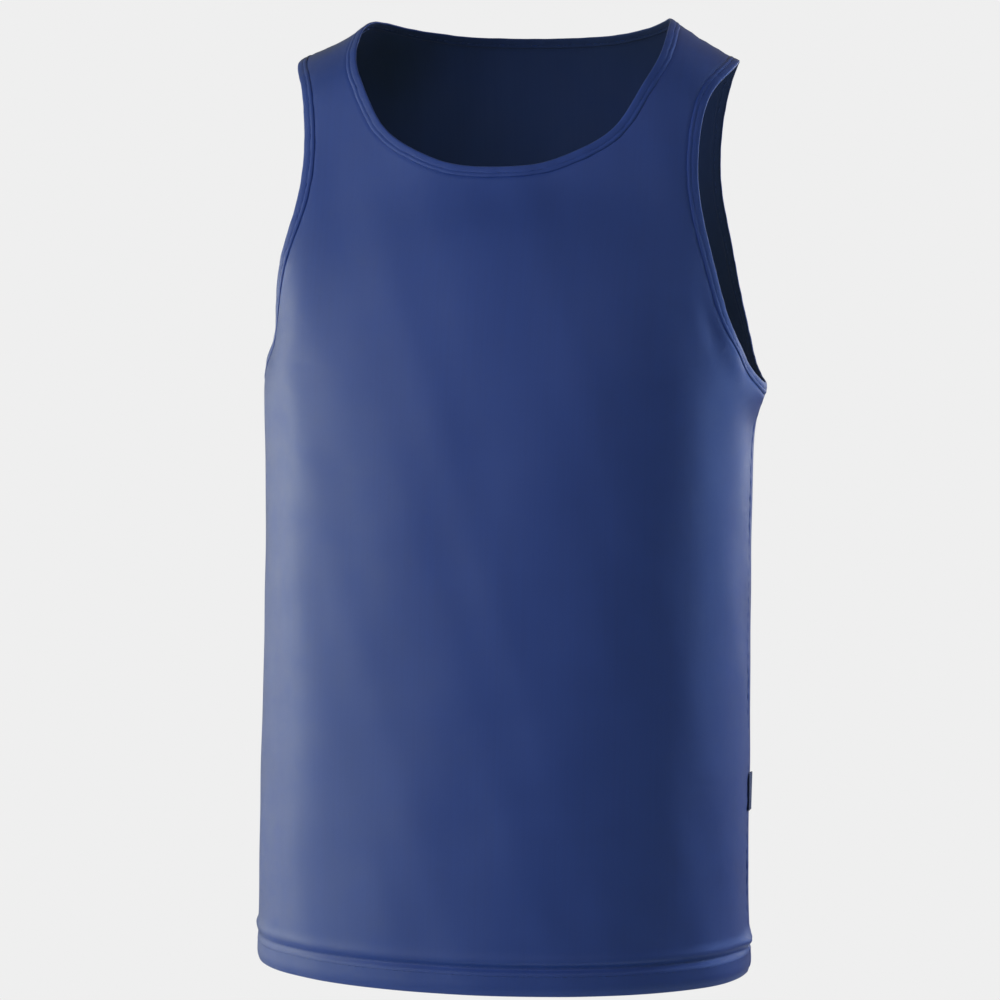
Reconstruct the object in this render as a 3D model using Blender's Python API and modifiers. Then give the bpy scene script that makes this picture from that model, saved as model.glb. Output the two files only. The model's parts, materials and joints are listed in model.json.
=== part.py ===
"""Running singlet: a round-neck sleeveless vest in light sports knit, filled out as worn.

The front and the back are drafted in a pattern plane and wrapped on the form of a general
figure. A pattern point is (across, along). `across` is the distance round the body from the
centre line, towards the wearer's left. `along` is the distance down the cloth from the top
of the shoulders, positive down the front and negative down the back.

The frame is the wearer's: +X is their left, -Y their front, +Z up. The origin is midway
between the two points where the shoulder seams meet the neck. Sizes are in metres.
"""

import math
from collections import namedtuple

import bmesh
import bpy
import numpy as np

GARMENT = "running_singlet"

# Cloth
SEAM_GAP = 0.0003  # between neighbouring pieces
CLOTH = 0.0012
HEM_CLOTH = 0.0024  # the hem is folded inside once
BINDING_CLOTH = 0.0022
BINDING_WIDTH = 0.008
BINDING_PROUD = 0.0005  # how far a binding stands over its panel
BINDING_ROUND = 0.0006
BINDING_COLUMNS = 3

# Hem, as heights above its lower edge
HEM_HEIGHT = 0.023
HEM_GROOVE_DEPTH = 0.0010
HEM_GROOVE_WIDTH = 0.0018
HEM_PUFF_HEIGHT = 0.0275  # the cloth swells a little above the hem's stitching
HEM_PUFF_WIDTH = 0.0038
HEM_PUFF = 0.0011

# Blank tab in the wearer's-left side seam
TAB_TOP = 0.643  # along the cloth
TAB_LENGTH = 0.028
TAB_WIDTH = 0.012
TAB_CLOTH = 0.001
TAB_LEAN = 0.0008  # its free edge stands this much further off the back panel
TAB_COLUMNS = 3
TAB_ROWS = 3

# The form: the ring that the body makes at each distance along the cloth. The front and
# back centre lines and the side seam are points of the ring. `square` is the exponent of
# the superellipse between them, 2 for a plain ellipse.
Level = namedtuple(
    "Level", "along front_y front_z back_y back_z side_x side_y side_z square"
)
LEVELS = (
    Level(0.000, 0.000, 0.040, 0.000, 0.040, 0.1980, -0.004, -0.050, 2.6),
    Level(0.030, -0.029, 0.032, 0.030, 0.034, 0.1970, -0.005, -0.054, 2.6),
    Level(0.060, -0.054, 0.011, 0.056, 0.018, 0.1950, -0.008, -0.065, 2.6),
    Level(0.100, -0.075, -0.025, 0.080, -0.012, 0.1920, -0.012, -0.088, 2.6),
    Level(0.140, -0.084, -0.064, 0.092, -0.050, 0.1900, -0.018, -0.123, 2.5),
    Level(0.190, -0.096, -0.114, 0.099, -0.098, 0.1880, -0.024, -0.163, 2.5),
    Level(0.240, -0.120, -0.160, 0.102, -0.148, 0.1860, -0.030, -0.203, 2.4),
    Level(0.300, -0.141, -0.217, 0.103, -0.213, 0.1840, -0.034, -0.243, 2.4),
    Level(0.360, -0.152, -0.276, 0.101, -0.276, 0.1825, -0.036, -0.279, 2.4),
    Level(0.450, -0.159, -0.365, 0.094, -0.365, 0.1810, -0.037, -0.365, 2.4),
    Level(0.600, -0.166, -0.513, 0.087, -0.513, 0.1820, -0.043, -0.513, 2.3),
    Level(0.790, -0.177, -0.7022, 0.082, -0.7007, 0.1838, -0.052, -0.7004, 2.2),
)
BODY_ALONG = LEVELS[-1].along
SHOULDER_BEND = 0.25  # how gently the shoulders start to fall away beside the neck
RING_STEPS = 96
LINE_POINTS = 3000  # along each opening's line
SLOPE_STEP = 0.0005

# The finished openings, as pattern points on their bound edges
Edge = namedtuple("Edge", "across along")
NECK_OPENING = (
    Edge(0.0000, 0.1880),
    Edge(0.0300, 0.1830),
    Edge(0.0580, 0.1665),
    Edge(0.0850, 0.1400),
    Edge(0.1020, 0.1050),
    Edge(0.1135, 0.0680),
    Edge(0.1150, 0.0280),
    Edge(0.1095, -0.0080),
    Edge(0.0965, -0.0370),
    Edge(0.0780, -0.0590),
    Edge(0.0560, -0.0770),
    Edge(0.0300, -0.0900),
    Edge(0.0000, -0.0955),
)
UNDERARM_ALONG = 0.343  # where the armhole crosses the side seam
ARMHOLE_OPENING = (
    Edge(0.2150, 0.3160),
    Edge(0.1950, 0.2900),
    Edge(0.1780, 0.2570),
    Edge(0.1650, 0.2230),
    Edge(0.1535, 0.1900),
    Edge(0.1470, 0.1500),
    Edge(0.1480, 0.1150),
    Edge(0.1545, 0.0780),
    Edge(0.1645, 0.0380),
    Edge(0.1655, 0.0000),
    Edge(0.1605, -0.0370),
    Edge(0.1520, -0.0810),
    Edge(0.1460, -0.1300),
    Edge(0.1495, -0.1740),
    Edge(0.1680, -0.2320),
    Edge(0.1890, -0.2820),
    Edge(0.2180, -0.3220),
)

# Soft folds, each a ridge or a trough (negative height) with a rounded section. `share` is
# the way from the centre line to the side seam, negative to the wearer's right, and `lean`
# turns a fold from straight down the cloth, in degrees, its lower end to the wearer's left.
Fold = namedtuple("Fold", "share along lean length width height")
FOLDS = (
    # The cloth stands off the body where the armholes meet the side seams
    Fold(1.00, 0.349, 0, 0.026, 0.030, 0.0090),
    Fold(1.00, -0.349, 0, 0.026, 0.030, 0.0090),
    Fold(-1.00, 0.350, 0, 0.020, 0.030, 0.0020),
    Fold(-1.00, -0.350, 0, 0.020, 0.030, 0.0020),
    # The neck stands up at the shoulders
    Fold(0.55, 0.001, 0, 0.050, 0.018, 0.0022),
    Fold(0.55, -0.001, 0, 0.050, 0.018, 0.0022),
    Fold(-0.55, 0.001, 0, 0.050, 0.018, 0.0022),
    Fold(-0.55, -0.001, 0, 0.050, 0.018, 0.0022),
    # The wearer's right strap rides a little higher
    Fold(-0.84, 0.001, 0, 0.035, 0.025, 0.0030),
    Fold(-0.84, -0.001, 0, 0.035, 0.025, 0.0030),
    # Front, beside and below the armholes
    Fold(-0.72, 0.150, 0, 0.085, 0.030, 0.0090),
    Fold(-0.64, 0.290, 0, 0.080, 0.034, 0.0040),
    Fold(-0.82, 0.282, 0, 0.048, 0.030, -0.0074),
    Fold(0.72, 0.290, 20, 0.030, 0.006, -0.0014),
    Fold(0.80, 0.308, 24, 0.032, 0.010, 0.0028),
    # Front, slack in the body
    Fold(-0.55, 0.560, 3, 0.150, 0.030, 0.0020),
    Fold(0.60, 0.600, -4, 0.140, 0.034, 0.0018),
    Fold(0.86, 0.800, 0, 0.050, 0.060, 0.0035),
    # The side seams pucker above the hem
    Fold(0.96, 0.7665, 0, 0.006, 0.014, 0.0030),
    Fold(-0.96, 0.7665, 0, 0.006, 0.014, 0.0015),
    # Back
    Fold(-0.40, -0.420, -5, 0.130, 0.030, 0.0035),
    Fold(0.36, -0.450, 6, 0.140, 0.032, 0.0032),
    Fold(0.00, -0.520, 0, 0.150, 0.034, -0.0030),
    Fold(-0.66, -0.290, -10, 0.055, 0.012, 0.0024),
    Fold(0.68, -0.300, 12, 0.055, 0.012, 0.0022),
)

# How each half panel is divided. The neck columns end at the bottom of the neckline, the
# side columns at the bottom of the armhole, and the strap columns reach the shoulder seam.
NECK_COLUMNS = 7
STRAP_COLUMNS = 3
SIDE_COLUMNS = 5
COLUMNS = NECK_COLUMNS + STRAP_COLUMNS + SIDE_COLUMNS
LEVEL_ALONG = 0.400  # below this the rows are level
LEVEL_ROWS = 9
HEM_ROWS = (0.0, 0.011, 0.0200, 0.0230, 0.0275, 0.036, 0.052)  # heights above the hem edge
ARM_ROWS = 22  # rows beside the armhole, above its bottom
UNDERARM_ROWS = 2
ROWS = len(HEM_ROWS) - 1 + LEVEL_ROWS + UNDERARM_ROWS + ARM_ROWS
SETTLE_ROUNDS = 600
Panel = namedtuple("Panel", "name side neck_rows colour")
PANELS = (
    Panel("front_panel", 1, 11, (0.011, 0.049, 0.270, 1.0)),
    Panel("back_panel", -1, 5, (0.010, 0.046, 0.255, 1.0)),
)
BINDING_COLOUR = (0.012, 0.052, 0.285, 1.0)
TAB_COLOUR = (0.013, 0.034, 0.140, 1.0)
ROUGHNESS = 0.6
CREASE_ANGLE = math.radians(50)


# ---------------------------------------------------------------- the form


def smooth_through(stations, values):
    """Return the natural cubic spline through values at stations."""
    stations = np.asarray(stations, dtype=float)
    values = np.asarray(values, dtype=float)
    gap = np.diff(stations)
    rise = np.diff(values) / gap
    bend_rows = np.eye(len(stations))
    bends = np.zeros(len(stations))
    for i in range(1, len(stations) - 1):
        bend_rows[i, i - 1 : i + 2] = gap[i - 1], 2 * (gap[i - 1] + gap[i]), gap[i]
        bends[i] = 6 * (rise[i] - rise[i - 1])
    bend = np.linalg.solve(bend_rows, bends)

    def value_at(places):
        i = np.clip(np.searchsorted(stations, places) - 1, 0, len(gap) - 1)
        step = places - stations[i]
        slope = rise[i] - gap[i] * (2 * bend[i] + bend[i + 1]) / 6
        curve = bend[i] / 2 + step * (bend[i + 1] - bend[i]) / (6 * gap[i])
        return values[i] + step * (slope + step * curve)

    return value_at


def level_profiles():
    """Return a function of `along` for each measure of the rings, back hem to front hem."""
    lower = LEVELS[1:]
    stations = [-level.along for level in reversed(lower)]
    stations += [level.along for level in LEVELS]

    def profile(front, back):
        values = [getattr(level, back) for level in reversed(lower)]
        values += [getattr(level, front) for level in LEVELS]
        return smooth_through(stations, values)

    return {
        "centre_y": profile("front_y", "back_y"),
        "centre_z": profile("front_z", "back_z"),
        "side_x": profile("side_x", "side_x"),
        "side_y": profile("side_y", "side_y"),
        "side_z": profile("side_z", "side_z"),
        "square": profile("square", "square"),
    }


PROFILES = level_profiles()


def signed_power(base, power):
    return np.sign(base) * np.abs(base) ** power


def ring_points(along, turn):
    """Return x and y on each ring at an angle from its centre line, 90 degrees at the side."""
    side_x = PROFILES["side_x"](along)[:, None]
    side_y = PROFILES["side_y"](along)[:, None]
    depth = PROFILES["centre_y"](along)[:, None] - side_y
    power = 2 / PROFILES["square"](along)[:, None]
    x = side_x * signed_power(np.sin(turn), power)
    y = side_y + depth * signed_power(np.cos(turn), power)
    return x, y


def ring_reach(along):
    """Return a series of angles, closest at the centre line and the side seam, and the
    distance round each ring from its centre line to each angle."""
    turns = math.pi / 4 * (1 - np.cos(np.linspace(0, math.pi, RING_STEPS + 1)))
    x, y = ring_points(along, turns[None, :])
    steps = np.hypot(np.diff(x, axis=1), np.diff(y, axis=1))
    reach = np.concatenate([np.zeros((len(along), 1)), np.cumsum(steps, axis=1)], axis=1)
    return turns, reach


def quarter_girth(along):
    """Return the distance from the centre line to the side seam at each `along`."""
    return ring_reach(np.atleast_1d(np.asarray(along, dtype=float)))[1][:, -1]


def body_points(pattern):
    """Return the points of the form under an array of pattern points."""
    across, along = pattern[:, 0], pattern[:, 1]
    turns, reach = ring_reach(along)
    distance = np.abs(across)
    step = np.clip((reach < distance[:, None]).sum(axis=1), 1, RING_STEPS)
    rows = np.arange(len(across))
    start, end = reach[rows, step - 1], reach[rows, step]
    share = (distance - start) / (end - start)
    turn = turns[step - 1] + share * (turns[step] - turns[step - 1])
    x, y = ring_points(along, turn[:, None])
    x, y = x[:, 0], y[:, 0]
    outness = x / PROFILES["side_x"](along)
    fall = np.hypot(outness, SHOULDER_BEND) - SHOULDER_BEND
    fall /= math.hypot(1, SHOULDER_BEND) - SHOULDER_BEND
    centre_z = PROFILES["centre_z"](along)
    z = centre_z + fall * (PROFILES["side_z"](along) - centre_z)
    return np.stack([np.where(across < 0, -x, x), y, z], axis=1)


def slopes(pattern):
    """Return how the form's points move for a metre across and a metre along."""
    found = []
    for step in ((SLOPE_STEP, 0), (0, SLOPE_STEP)):
        moved = body_points(pattern + step) - body_points(pattern - np.array(step))
        found.append(moved / (2 * SLOPE_STEP))
    return found


def unit(vectors):
    return vectors / np.linalg.norm(vectors, axis=1)[:, None]


def hem_relief(pattern):
    """Return how far the cloth stands out round the hem: its stitched groove and the puff."""
    height = BODY_ALONG - np.abs(pattern[:, 1])
    groove = np.exp(-(((height - HEM_HEIGHT) / HEM_GROOVE_WIDTH) ** 2))
    puff = np.exp(-(((height - HEM_PUFF_HEIGHT) / HEM_PUFF_WIDTH) ** 2))
    return HEM_PUFF * puff - HEM_GROOVE_DEPTH * groove


def fold_relief(pattern):
    """Return how far the folds lift the cloth off the form."""
    lift = np.zeros(len(pattern))
    for fold in FOLDS:
        middle = fold.share * quarter_girth(fold.along)[0]
        lean = math.radians(fold.lean)
        across = pattern[:, 0] - middle
        down = np.abs(pattern[:, 1]) - abs(fold.along)
        lengthwise = down * math.cos(lean) + across * math.sin(lean)
        sidewise = across * math.cos(lean) - down * math.sin(lean)
        spread = (lengthwise / fold.length) ** 2 + (sidewise / fold.width) ** 2
        same_side = np.sign(pattern[:, 1]) == math.copysign(1, fold.along)
        lift += np.where(same_side, fold.height * np.exp(-spread), 0)
    return lift


def cloth_points(grid, raised):
    """Return the points of the cloth's outer face at a grid of pattern points, raised off it
    by a distance or by a grid of distances."""
    pattern = grid.reshape(-1, 2)
    across, along = slopes(pattern)
    outward = unit(np.cross(along, across))
    lift = np.broadcast_to(raised, grid.shape[:-1]).reshape(-1)
    lift = lift + hem_relief(pattern) + fold_relief(pattern)
    points = body_points(pattern) + outward * lift[:, None]
    return points.reshape(grid.shape[:-1] + (3,))


# ---------------------------------------------------------------- the pattern


def smooth_line(points):
    """Return a closely spaced line through pattern points, joined by a cubic spline."""
    points = np.array(points, dtype=float)
    reach = np.concatenate([[0], np.cumsum(np.hypot(*np.diff(points, axis=0).T))])
    places = np.linspace(0, reach[-1], LINE_POINTS)
    return np.stack([smooth_through(reach, column)(places) for column in points.T], axis=1)


def neck_line():
    """Return the neck opening's line, centre front to centre back on the wearer's left."""
    ahead = [(-edge.across, edge.along) for edge in NECK_OPENING[2:0:-1]]
    behind = [(-edge.across, edge.along) for edge in NECK_OPENING[-2:-4:-1]]
    line = smooth_line(ahead + list(NECK_OPENING) + behind)
    line = line[line[:, 0] >= 0]
    line[0], line[-1] = NECK_OPENING[0], NECK_OPENING[-1]
    return line


def armhole_line():
    """Return the armhole's line, from the side seam over the shoulder and back to it."""
    front_seam = quarter_girth(UNDERARM_ALONG)[0]
    back_seam = quarter_girth(-UNDERARM_ALONG)[0]
    ahead = [(2 * front_seam - edge.across, edge.along) for edge in ARMHOLE_OPENING[1::-1]]
    behind = [(2 * back_seam - edge.across, edge.along) for edge in ARMHOLE_OPENING[:-3:-1]]
    start = [(front_seam, UNDERARM_ALONG)]
    end = [(back_seam, -UNDERARM_ALONG)]
    line = smooth_line(ahead + start + list(ARMHOLE_OPENING) + end + behind)
    seam = np.where(line[:, 1] > 0, front_seam, back_seam)
    line = line[line[:, 0] <= seam]
    line[0], line[-1] = start[0], end[0]
    return line


def step_left(line):
    """Return the pattern step at each point of a line that goes one metre over the form,
    square to the line and to its left, as seen from outside."""
    across, along = slopes(line)
    outward = unit(np.cross(along, across))
    forward = np.gradient(line, axis=0)
    tangent = unit(forward[:, :1] * across + forward[:, 1:] * along)
    left = np.cross(outward, tangent)
    stretch = np.array(
        [
            [(across * across).sum(1), (across * along).sum(1)],
            [(across * along).sum(1), (along * along).sum(1)],
        ]
    ).transpose(2, 0, 1)
    wanted = np.stack([(across * left).sum(1), (along * left).sum(1)], axis=1)
    step = np.linalg.solve(stretch, wanted[:, :, None])[:, :, 0]
    step[[0, -1], 0] = 0  # a line's ends are where it crosses the centre line or a side seam
    return step


# An opening's line, and at each point the pattern step that goes one metre into the cloth
Opening = namedtuple("Opening", "line step")


def opening_part(opening, side):
    """Return the part of an opening that lies on the front (1) or the back (-1)."""
    kept = opening.line[:, 1] * side >= 0
    return Opening(opening.line[kept], opening.step[kept])


def stations(opening, count):
    """Return the ends of count spans of an opening, of one length on the panel's edge."""
    edge = body_points(opening.line + opening.step * BINDING_WIDTH)
    spans = np.linalg.norm(np.diff(edge, axis=0), axis=1)
    reach = np.concatenate([[0], np.cumsum(spans)])
    places = np.linspace(0, reach[-1], count + 1)
    line = [np.interp(places, reach, column) for column in opening.line.T]
    step = [np.interp(places, reach, column) for column in opening.step.T]
    return Opening(np.stack(line, axis=1), np.stack(step, axis=1))


def make_openings():
    """Return the stations of the neck and the armhole on the front and on the back."""
    neck = neck_line()
    arm = armhole_line()
    neck = Opening(neck, -step_left(neck))
    arm = Opening(arm, step_left(arm))
    for end in (0, -1):  # at the underarm the step follows the side seam
        below = arm.line[end, 1] + arm.step[end, 1] * BINDING_WIDTH
        arm.step[end, 0] = (quarter_girth(below)[0] - arm.line[end, 0]) / BINDING_WIDTH
    found = {}
    for panel in PANELS:
        neck_part = opening_part(neck, panel.side)
        arm_part = opening_part(arm, panel.side)
        if panel.side < 0:
            neck_part = Opening(*(column[::-1] for column in neck_part))
            arm_part = Opening(*(column[::-1] for column in arm_part))
        found["neck", panel.side] = stations(neck_part, NECK_COLUMNS + panel.neck_rows)
        found["arm", panel.side] = stations(arm_part, SIDE_COLUMNS + ARM_ROWS)
    return found


def row_levels():
    """Return the distance along the cloth of the level rows, from the hem up."""
    hem = [BODY_ALONG - height for height in HEM_ROWS]
    return hem + list(np.linspace(hem[-1], LEVEL_ALONG, LEVEL_ROWS + 1)[1:])


def grid_cells(panel):
    """Return which cells of the half panel's grid are cloth, as columns by rows."""
    cells = np.ones((COLUMNS, ROWS), dtype=bool)
    cells[:NECK_COLUMNS, ROWS - panel.neck_rows :] = False
    cells[COLUMNS - SIDE_COLUMNS :, ROWS - ARM_ROWS :] = False
    return cells


def settle(grid, cells, first_row):
    """Move each inner point above first_row to the middle of its four neighbours, often."""
    inner = cells[1:, 1:] & cells[:-1, 1:] & cells[1:, :-1] & cells[:-1, :-1]
    free = np.zeros(grid.shape[:2], dtype=bool)
    free[1:-1, 1:-1] = inner
    free[:, : first_row + 1] = False
    for _ in range(SETTLE_ROUNDS):
        around = sum(np.roll(grid, shift, axis) for axis in (0, 1) for shift in (1, -1))
        grid[free] = around[free] / 4


def half_panel_pattern(panel, openings):
    """Return the pattern point of each point of the half panel's grid, wearer's left."""
    neck, arm = openings["neck", panel.side], openings["arm", panel.side]
    neck = neck.line + neck.step * BINDING_WIDTH
    arm = arm.line + arm.step * BINDING_WIDTH
    side = panel.side
    neck_row = ROWS - panel.neck_rows
    arm_row = ROWS - ARM_ROWS
    arm_column = COLUMNS - SIDE_COLUMNS
    grid = np.zeros((COLUMNS + 1, ROWS + 1, 2))

    def set_row(row, along):
        grid[:, row, 0] = np.linspace(0, quarter_girth(side * along)[0], COLUMNS + 1)
        grid[:, row, 1] = side * along

    levels = row_levels()
    for row, along in enumerate(levels):
        set_row(row, along)
    top_level = len(levels) - 1
    underarm = abs(arm[0, 1])
    for row in range(top_level + 1, ROWS + 1):
        share = min(1, (row - top_level) / (arm_row - top_level))
        set_row(row, LEVEL_ALONG + share * (underarm - LEVEL_ALONG))
    centre = np.linspace(side * LEVEL_ALONG, neck[0, 1], neck_row - top_level + 1)
    grid[0, top_level : neck_row + 1, 1] = centre
    grid[: NECK_COLUMNS + 1, neck_row] = neck[: NECK_COLUMNS + 1]
    grid[NECK_COLUMNS, neck_row:] = neck[NECK_COLUMNS:]
    grid[arm_column:, arm_row] = arm[SIDE_COLUMNS::-1]
    grid[arm_column, arm_row:] = arm[SIDE_COLUMNS:]
    shoulder = np.linspace(neck[-1], arm[-1], STRAP_COLUMNS + 1)
    grid[NECK_COLUMNS : arm_column + 1, -1] = shoulder
    settle(grid, grid_cells(panel), top_level)
    grid[-1, :, 0] -= SEAM_GAP / 2
    grid[:, -1, 1] += side * SEAM_GAP / 2
    return grid


# ---------------------------------------------------------------- the pieces


def add_object(name, bm, colour, collection):
    """Make an object of a bmesh, with a material of its own."""
    mesh = bpy.data.meshes.new(name)
    bm.to_mesh(mesh)
    bm.free()
    mesh.shade_smooth()
    mesh.set_sharp_from_angle(angle=CREASE_ANGLE)
    obj = bpy.data.objects.new(name, mesh)
    collection.objects.link(obj)
    material = bpy.data.materials.new(name)
    material.use_nodes = True
    finish = material.node_tree.nodes["Principled BSDF"]
    finish.inputs["Base Color"].default_value = colour
    finish.inputs["Roughness"].default_value = ROUGHNESS
    finish.inputs["Metallic"].default_value = 0.0
    mesh.materials.append(material)
    return obj


def make_piece(name, pattern, raised, thickness, colour, collection, cells=None):
    """Make a wall of cloth from a grid of pattern points. Its outer face is `raised` off the
    cloth and its inner face `thickness` further in, both square to the form. `cells` says
    which of the grid's cells are cloth. Without it they all are, and the piece is a ring if
    its last row comes round to its first."""
    columns, rows = pattern.shape[0] - 1, pattern.shape[1] - 1
    outer = cloth_points(pattern, raised)
    inner = cloth_points(pattern, raised - thickness)
    if np.abs(outer[:, -1] - outer[:, 0]).max() < SEAM_GAP:
        outer[:, -1], inner[:, -1] = outer[:, 0], inner[:, 0]

    bm = bmesh.new()
    bmesh.ops.create_grid(bm, x_segments=columns, y_segments=rows, size=0.5)
    column_of = bm.verts.layers.int.new("column")
    row_of = bm.verts.layers.int.new("row")
    for vert in bm.verts:
        vert[column_of] = round((vert.co.x + 0.5) * columns)
        vert[row_of] = round((vert.co.y + 0.5) * rows)
        vert.co = outer[vert[column_of], vert[row_of]]
    if cells is not None:
        empty = []
        for face in bm.faces:
            column = min(vert[column_of] for vert in face.verts)
            row = min(vert[row_of] for vert in face.verts)
            if not cells[column, row]:
                empty.append(face)
        bmesh.ops.delete(bm, geom=empty, context="FACES")
    bmesh.ops.remove_doubles(bm, verts=bm.verts, dist=SEAM_GAP / 10)
    lining = bmesh.ops.extrude_face_region(bm, geom=bm.faces[:])
    for item in lining["geom"]:
        if isinstance(item, bmesh.types.BMVert):
            item.co = inner[item[column_of], item[row_of]]
    bmesh.ops.recalc_face_normals(bm, faces=bm.faces)
    return add_object(name, bm, colour, collection)


def make_panel(panel, openings, collection):
    half = half_panel_pattern(panel, openings)
    pattern = np.concatenate([half[:0:-1] * (-1, 1), half])
    cells = grid_cells(panel)
    cells = np.concatenate([cells[::-1], cells])
    folded = np.arange(ROWS + 1) < HEM_ROWS.index(HEM_HEIGHT)
    thickness = np.where(folded, HEM_CLOTH, CLOTH)
    make_piece(panel.name, pattern, 0.0, thickness, panel.colour, collection, cells)


def make_binding(name, opening, collection):
    """Make a closed ring of binding along an opening's stations."""
    reach = np.linspace(0, BINDING_WIDTH - SEAM_GAP, BINDING_COLUMNS + 1)
    pattern = opening.line + opening.step * reach[:, None, None]
    obj = make_piece(name, pattern, BINDING_PROUD, BINDING_CLOTH, BINDING_COLOUR, collection)
    rounding = obj.modifiers.new("round", "BEVEL")
    rounding.width = BINDING_ROUND
    rounding.segments = 1
    rounding.limit_method = "ANGLE"
    rounding.angle_limit = CREASE_ANGLE


def joined(front, back):
    """Return one part of an opening and then another, which is taken from its far end."""
    line = np.concatenate([front.line, back.line[-2::-1]])
    step = np.concatenate([front.step, back.step[-2::-1]])
    return Opening(line, step)


def mirrored(opening):
    return Opening(opening.line * (-1, 1), opening.step * (-1, 1))


def make_bindings(openings, collection):
    neck = joined(openings["neck", 1], openings["neck", -1])
    make_binding("neck_binding", joined(neck, mirrored(neck)), collection)
    arm = joined(openings["arm", 1], openings["arm", -1])
    make_binding("armhole_binding_left", arm, collection)
    make_binding("armhole_binding_right", mirrored(arm), collection)


def make_tab(collection):
    """Make the blank tab, which lies back from the side seam over the back panel."""
    along = -np.linspace(TAB_TOP, TAB_TOP + TAB_LENGTH, TAB_ROWS + 1)
    share = np.linspace(0, 1, TAB_COLUMNS + 1)[:, None]
    across = quarter_girth(along) - SEAM_GAP / 2 - share * TAB_WIDTH
    pattern = np.stack(np.broadcast_arrays(across, along), axis=2)
    raised = SEAM_GAP + TAB_CLOTH + share * TAB_LEAN
    make_piece("side_tab", pattern, raised, TAB_CLOTH, TAB_COLOUR, collection)


def main():
    for obj in list(bpy.data.objects):
        bpy.data.objects.remove(obj)
    collection = bpy.data.collections.new(GARMENT)
    bpy.context.scene.collection.children.link(collection)
    openings = make_openings()
    for panel in PANELS:
        make_panel(panel, openings, collection)
    make_bindings(openings, collection)
    make_tab(collection)


main()
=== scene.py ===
"""The finished look of a running singlet in light sports knit, with a plain studio round it.

The front and the back are cut lying flat and wrapped on the form that the solids have. A
pattern point is (across, along). `across` is the distance round the body from the centre
line, towards the wearer's left. `along` is the distance down the cloth from the top of the
shoulders, positive down the front and negative down the back. `raised` is the distance out
from the cloth's outer face.

The frame is the wearer's: +X is their left, -Y their front, +Z up. Sizes are in metres.
"""

import json
import math
from collections import namedtuple

import bmesh
import bpy
import numpy as np
from mathutils import Matrix, Vector


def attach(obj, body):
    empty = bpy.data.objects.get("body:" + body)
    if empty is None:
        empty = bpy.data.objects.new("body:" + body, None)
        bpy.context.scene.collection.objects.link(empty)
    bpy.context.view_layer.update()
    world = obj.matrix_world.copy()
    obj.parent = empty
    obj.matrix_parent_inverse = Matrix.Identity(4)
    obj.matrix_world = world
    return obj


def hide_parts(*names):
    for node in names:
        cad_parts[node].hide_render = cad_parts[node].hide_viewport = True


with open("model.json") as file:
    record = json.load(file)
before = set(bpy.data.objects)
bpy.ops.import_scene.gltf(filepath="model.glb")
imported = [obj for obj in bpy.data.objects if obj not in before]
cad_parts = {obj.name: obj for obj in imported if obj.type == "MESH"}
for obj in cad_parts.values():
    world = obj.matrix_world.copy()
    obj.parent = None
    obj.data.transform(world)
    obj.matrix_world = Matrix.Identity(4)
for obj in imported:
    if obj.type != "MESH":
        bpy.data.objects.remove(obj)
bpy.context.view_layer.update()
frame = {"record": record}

bl_info = {
    "name": "Running Singlet",
    "version": (1, 0, 0),
    "blender": (4, 5, 0),
    "location": "View3D > Sidebar > Singlet",
    "description": "Cuts, sews and lights a running singlet in light sports knit",
    "category": "Add Mesh",
}

BODY = "root"
FINISHES = {finish["slot"]: finish for finish in frame["record"]["materials"]}

# ---------------------------------------------------------------- sizes of the form

# The ring that the body makes at each distance along the cloth. The front and back centre
# lines and the side seam are points of the ring. `square` is the exponent of the superellipse
# between them, 2 for a plain ellipse.
Level = namedtuple(
    "Level", "along front_y front_z back_y back_z side_x side_y side_z square"
)
LEVELS = (
    Level(0.000, 0.000, 0.040, 0.000, 0.040, 0.1980, -0.004, -0.050, 2.6),
    Level(0.030, -0.029, 0.032, 0.030, 0.034, 0.1970, -0.005, -0.054, 2.6),
    Level(0.060, -0.054, 0.011, 0.056, 0.018, 0.1950, -0.008, -0.065, 2.6),
    Level(0.100, -0.075, -0.025, 0.080, -0.012, 0.1920, -0.012, -0.088, 2.6),
    Level(0.140, -0.084, -0.064, 0.092, -0.050, 0.1900, -0.018, -0.123, 2.5),
    Level(0.190, -0.096, -0.114, 0.099, -0.098, 0.1880, -0.024, -0.163, 2.5),
    Level(0.240, -0.120, -0.160, 0.102, -0.148, 0.1860, -0.030, -0.203, 2.4),
    Level(0.300, -0.141, -0.217, 0.103, -0.213, 0.1840, -0.034, -0.243, 2.4),
    Level(0.360, -0.152, -0.276, 0.101, -0.276, 0.1825, -0.036, -0.279, 2.4),
    Level(0.450, -0.159, -0.365, 0.094, -0.365, 0.1810, -0.037, -0.365, 2.4),
    Level(0.600, -0.166, -0.513, 0.087, -0.513, 0.1820, -0.043, -0.513, 2.3),
    Level(0.790, -0.177, -0.7022, 0.082, -0.7007, 0.1838, -0.052, -0.7004, 2.2),
)
BODY_ALONG = LEVELS[-1].along
SHOULDER_BEND = 0.25  # how gently the shoulders start to fall away beside the neck
RING_STEPS = 96
LINE_POINTS = 3000  # along each opening's line
SLOPE_STEP = 0.0005

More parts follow.
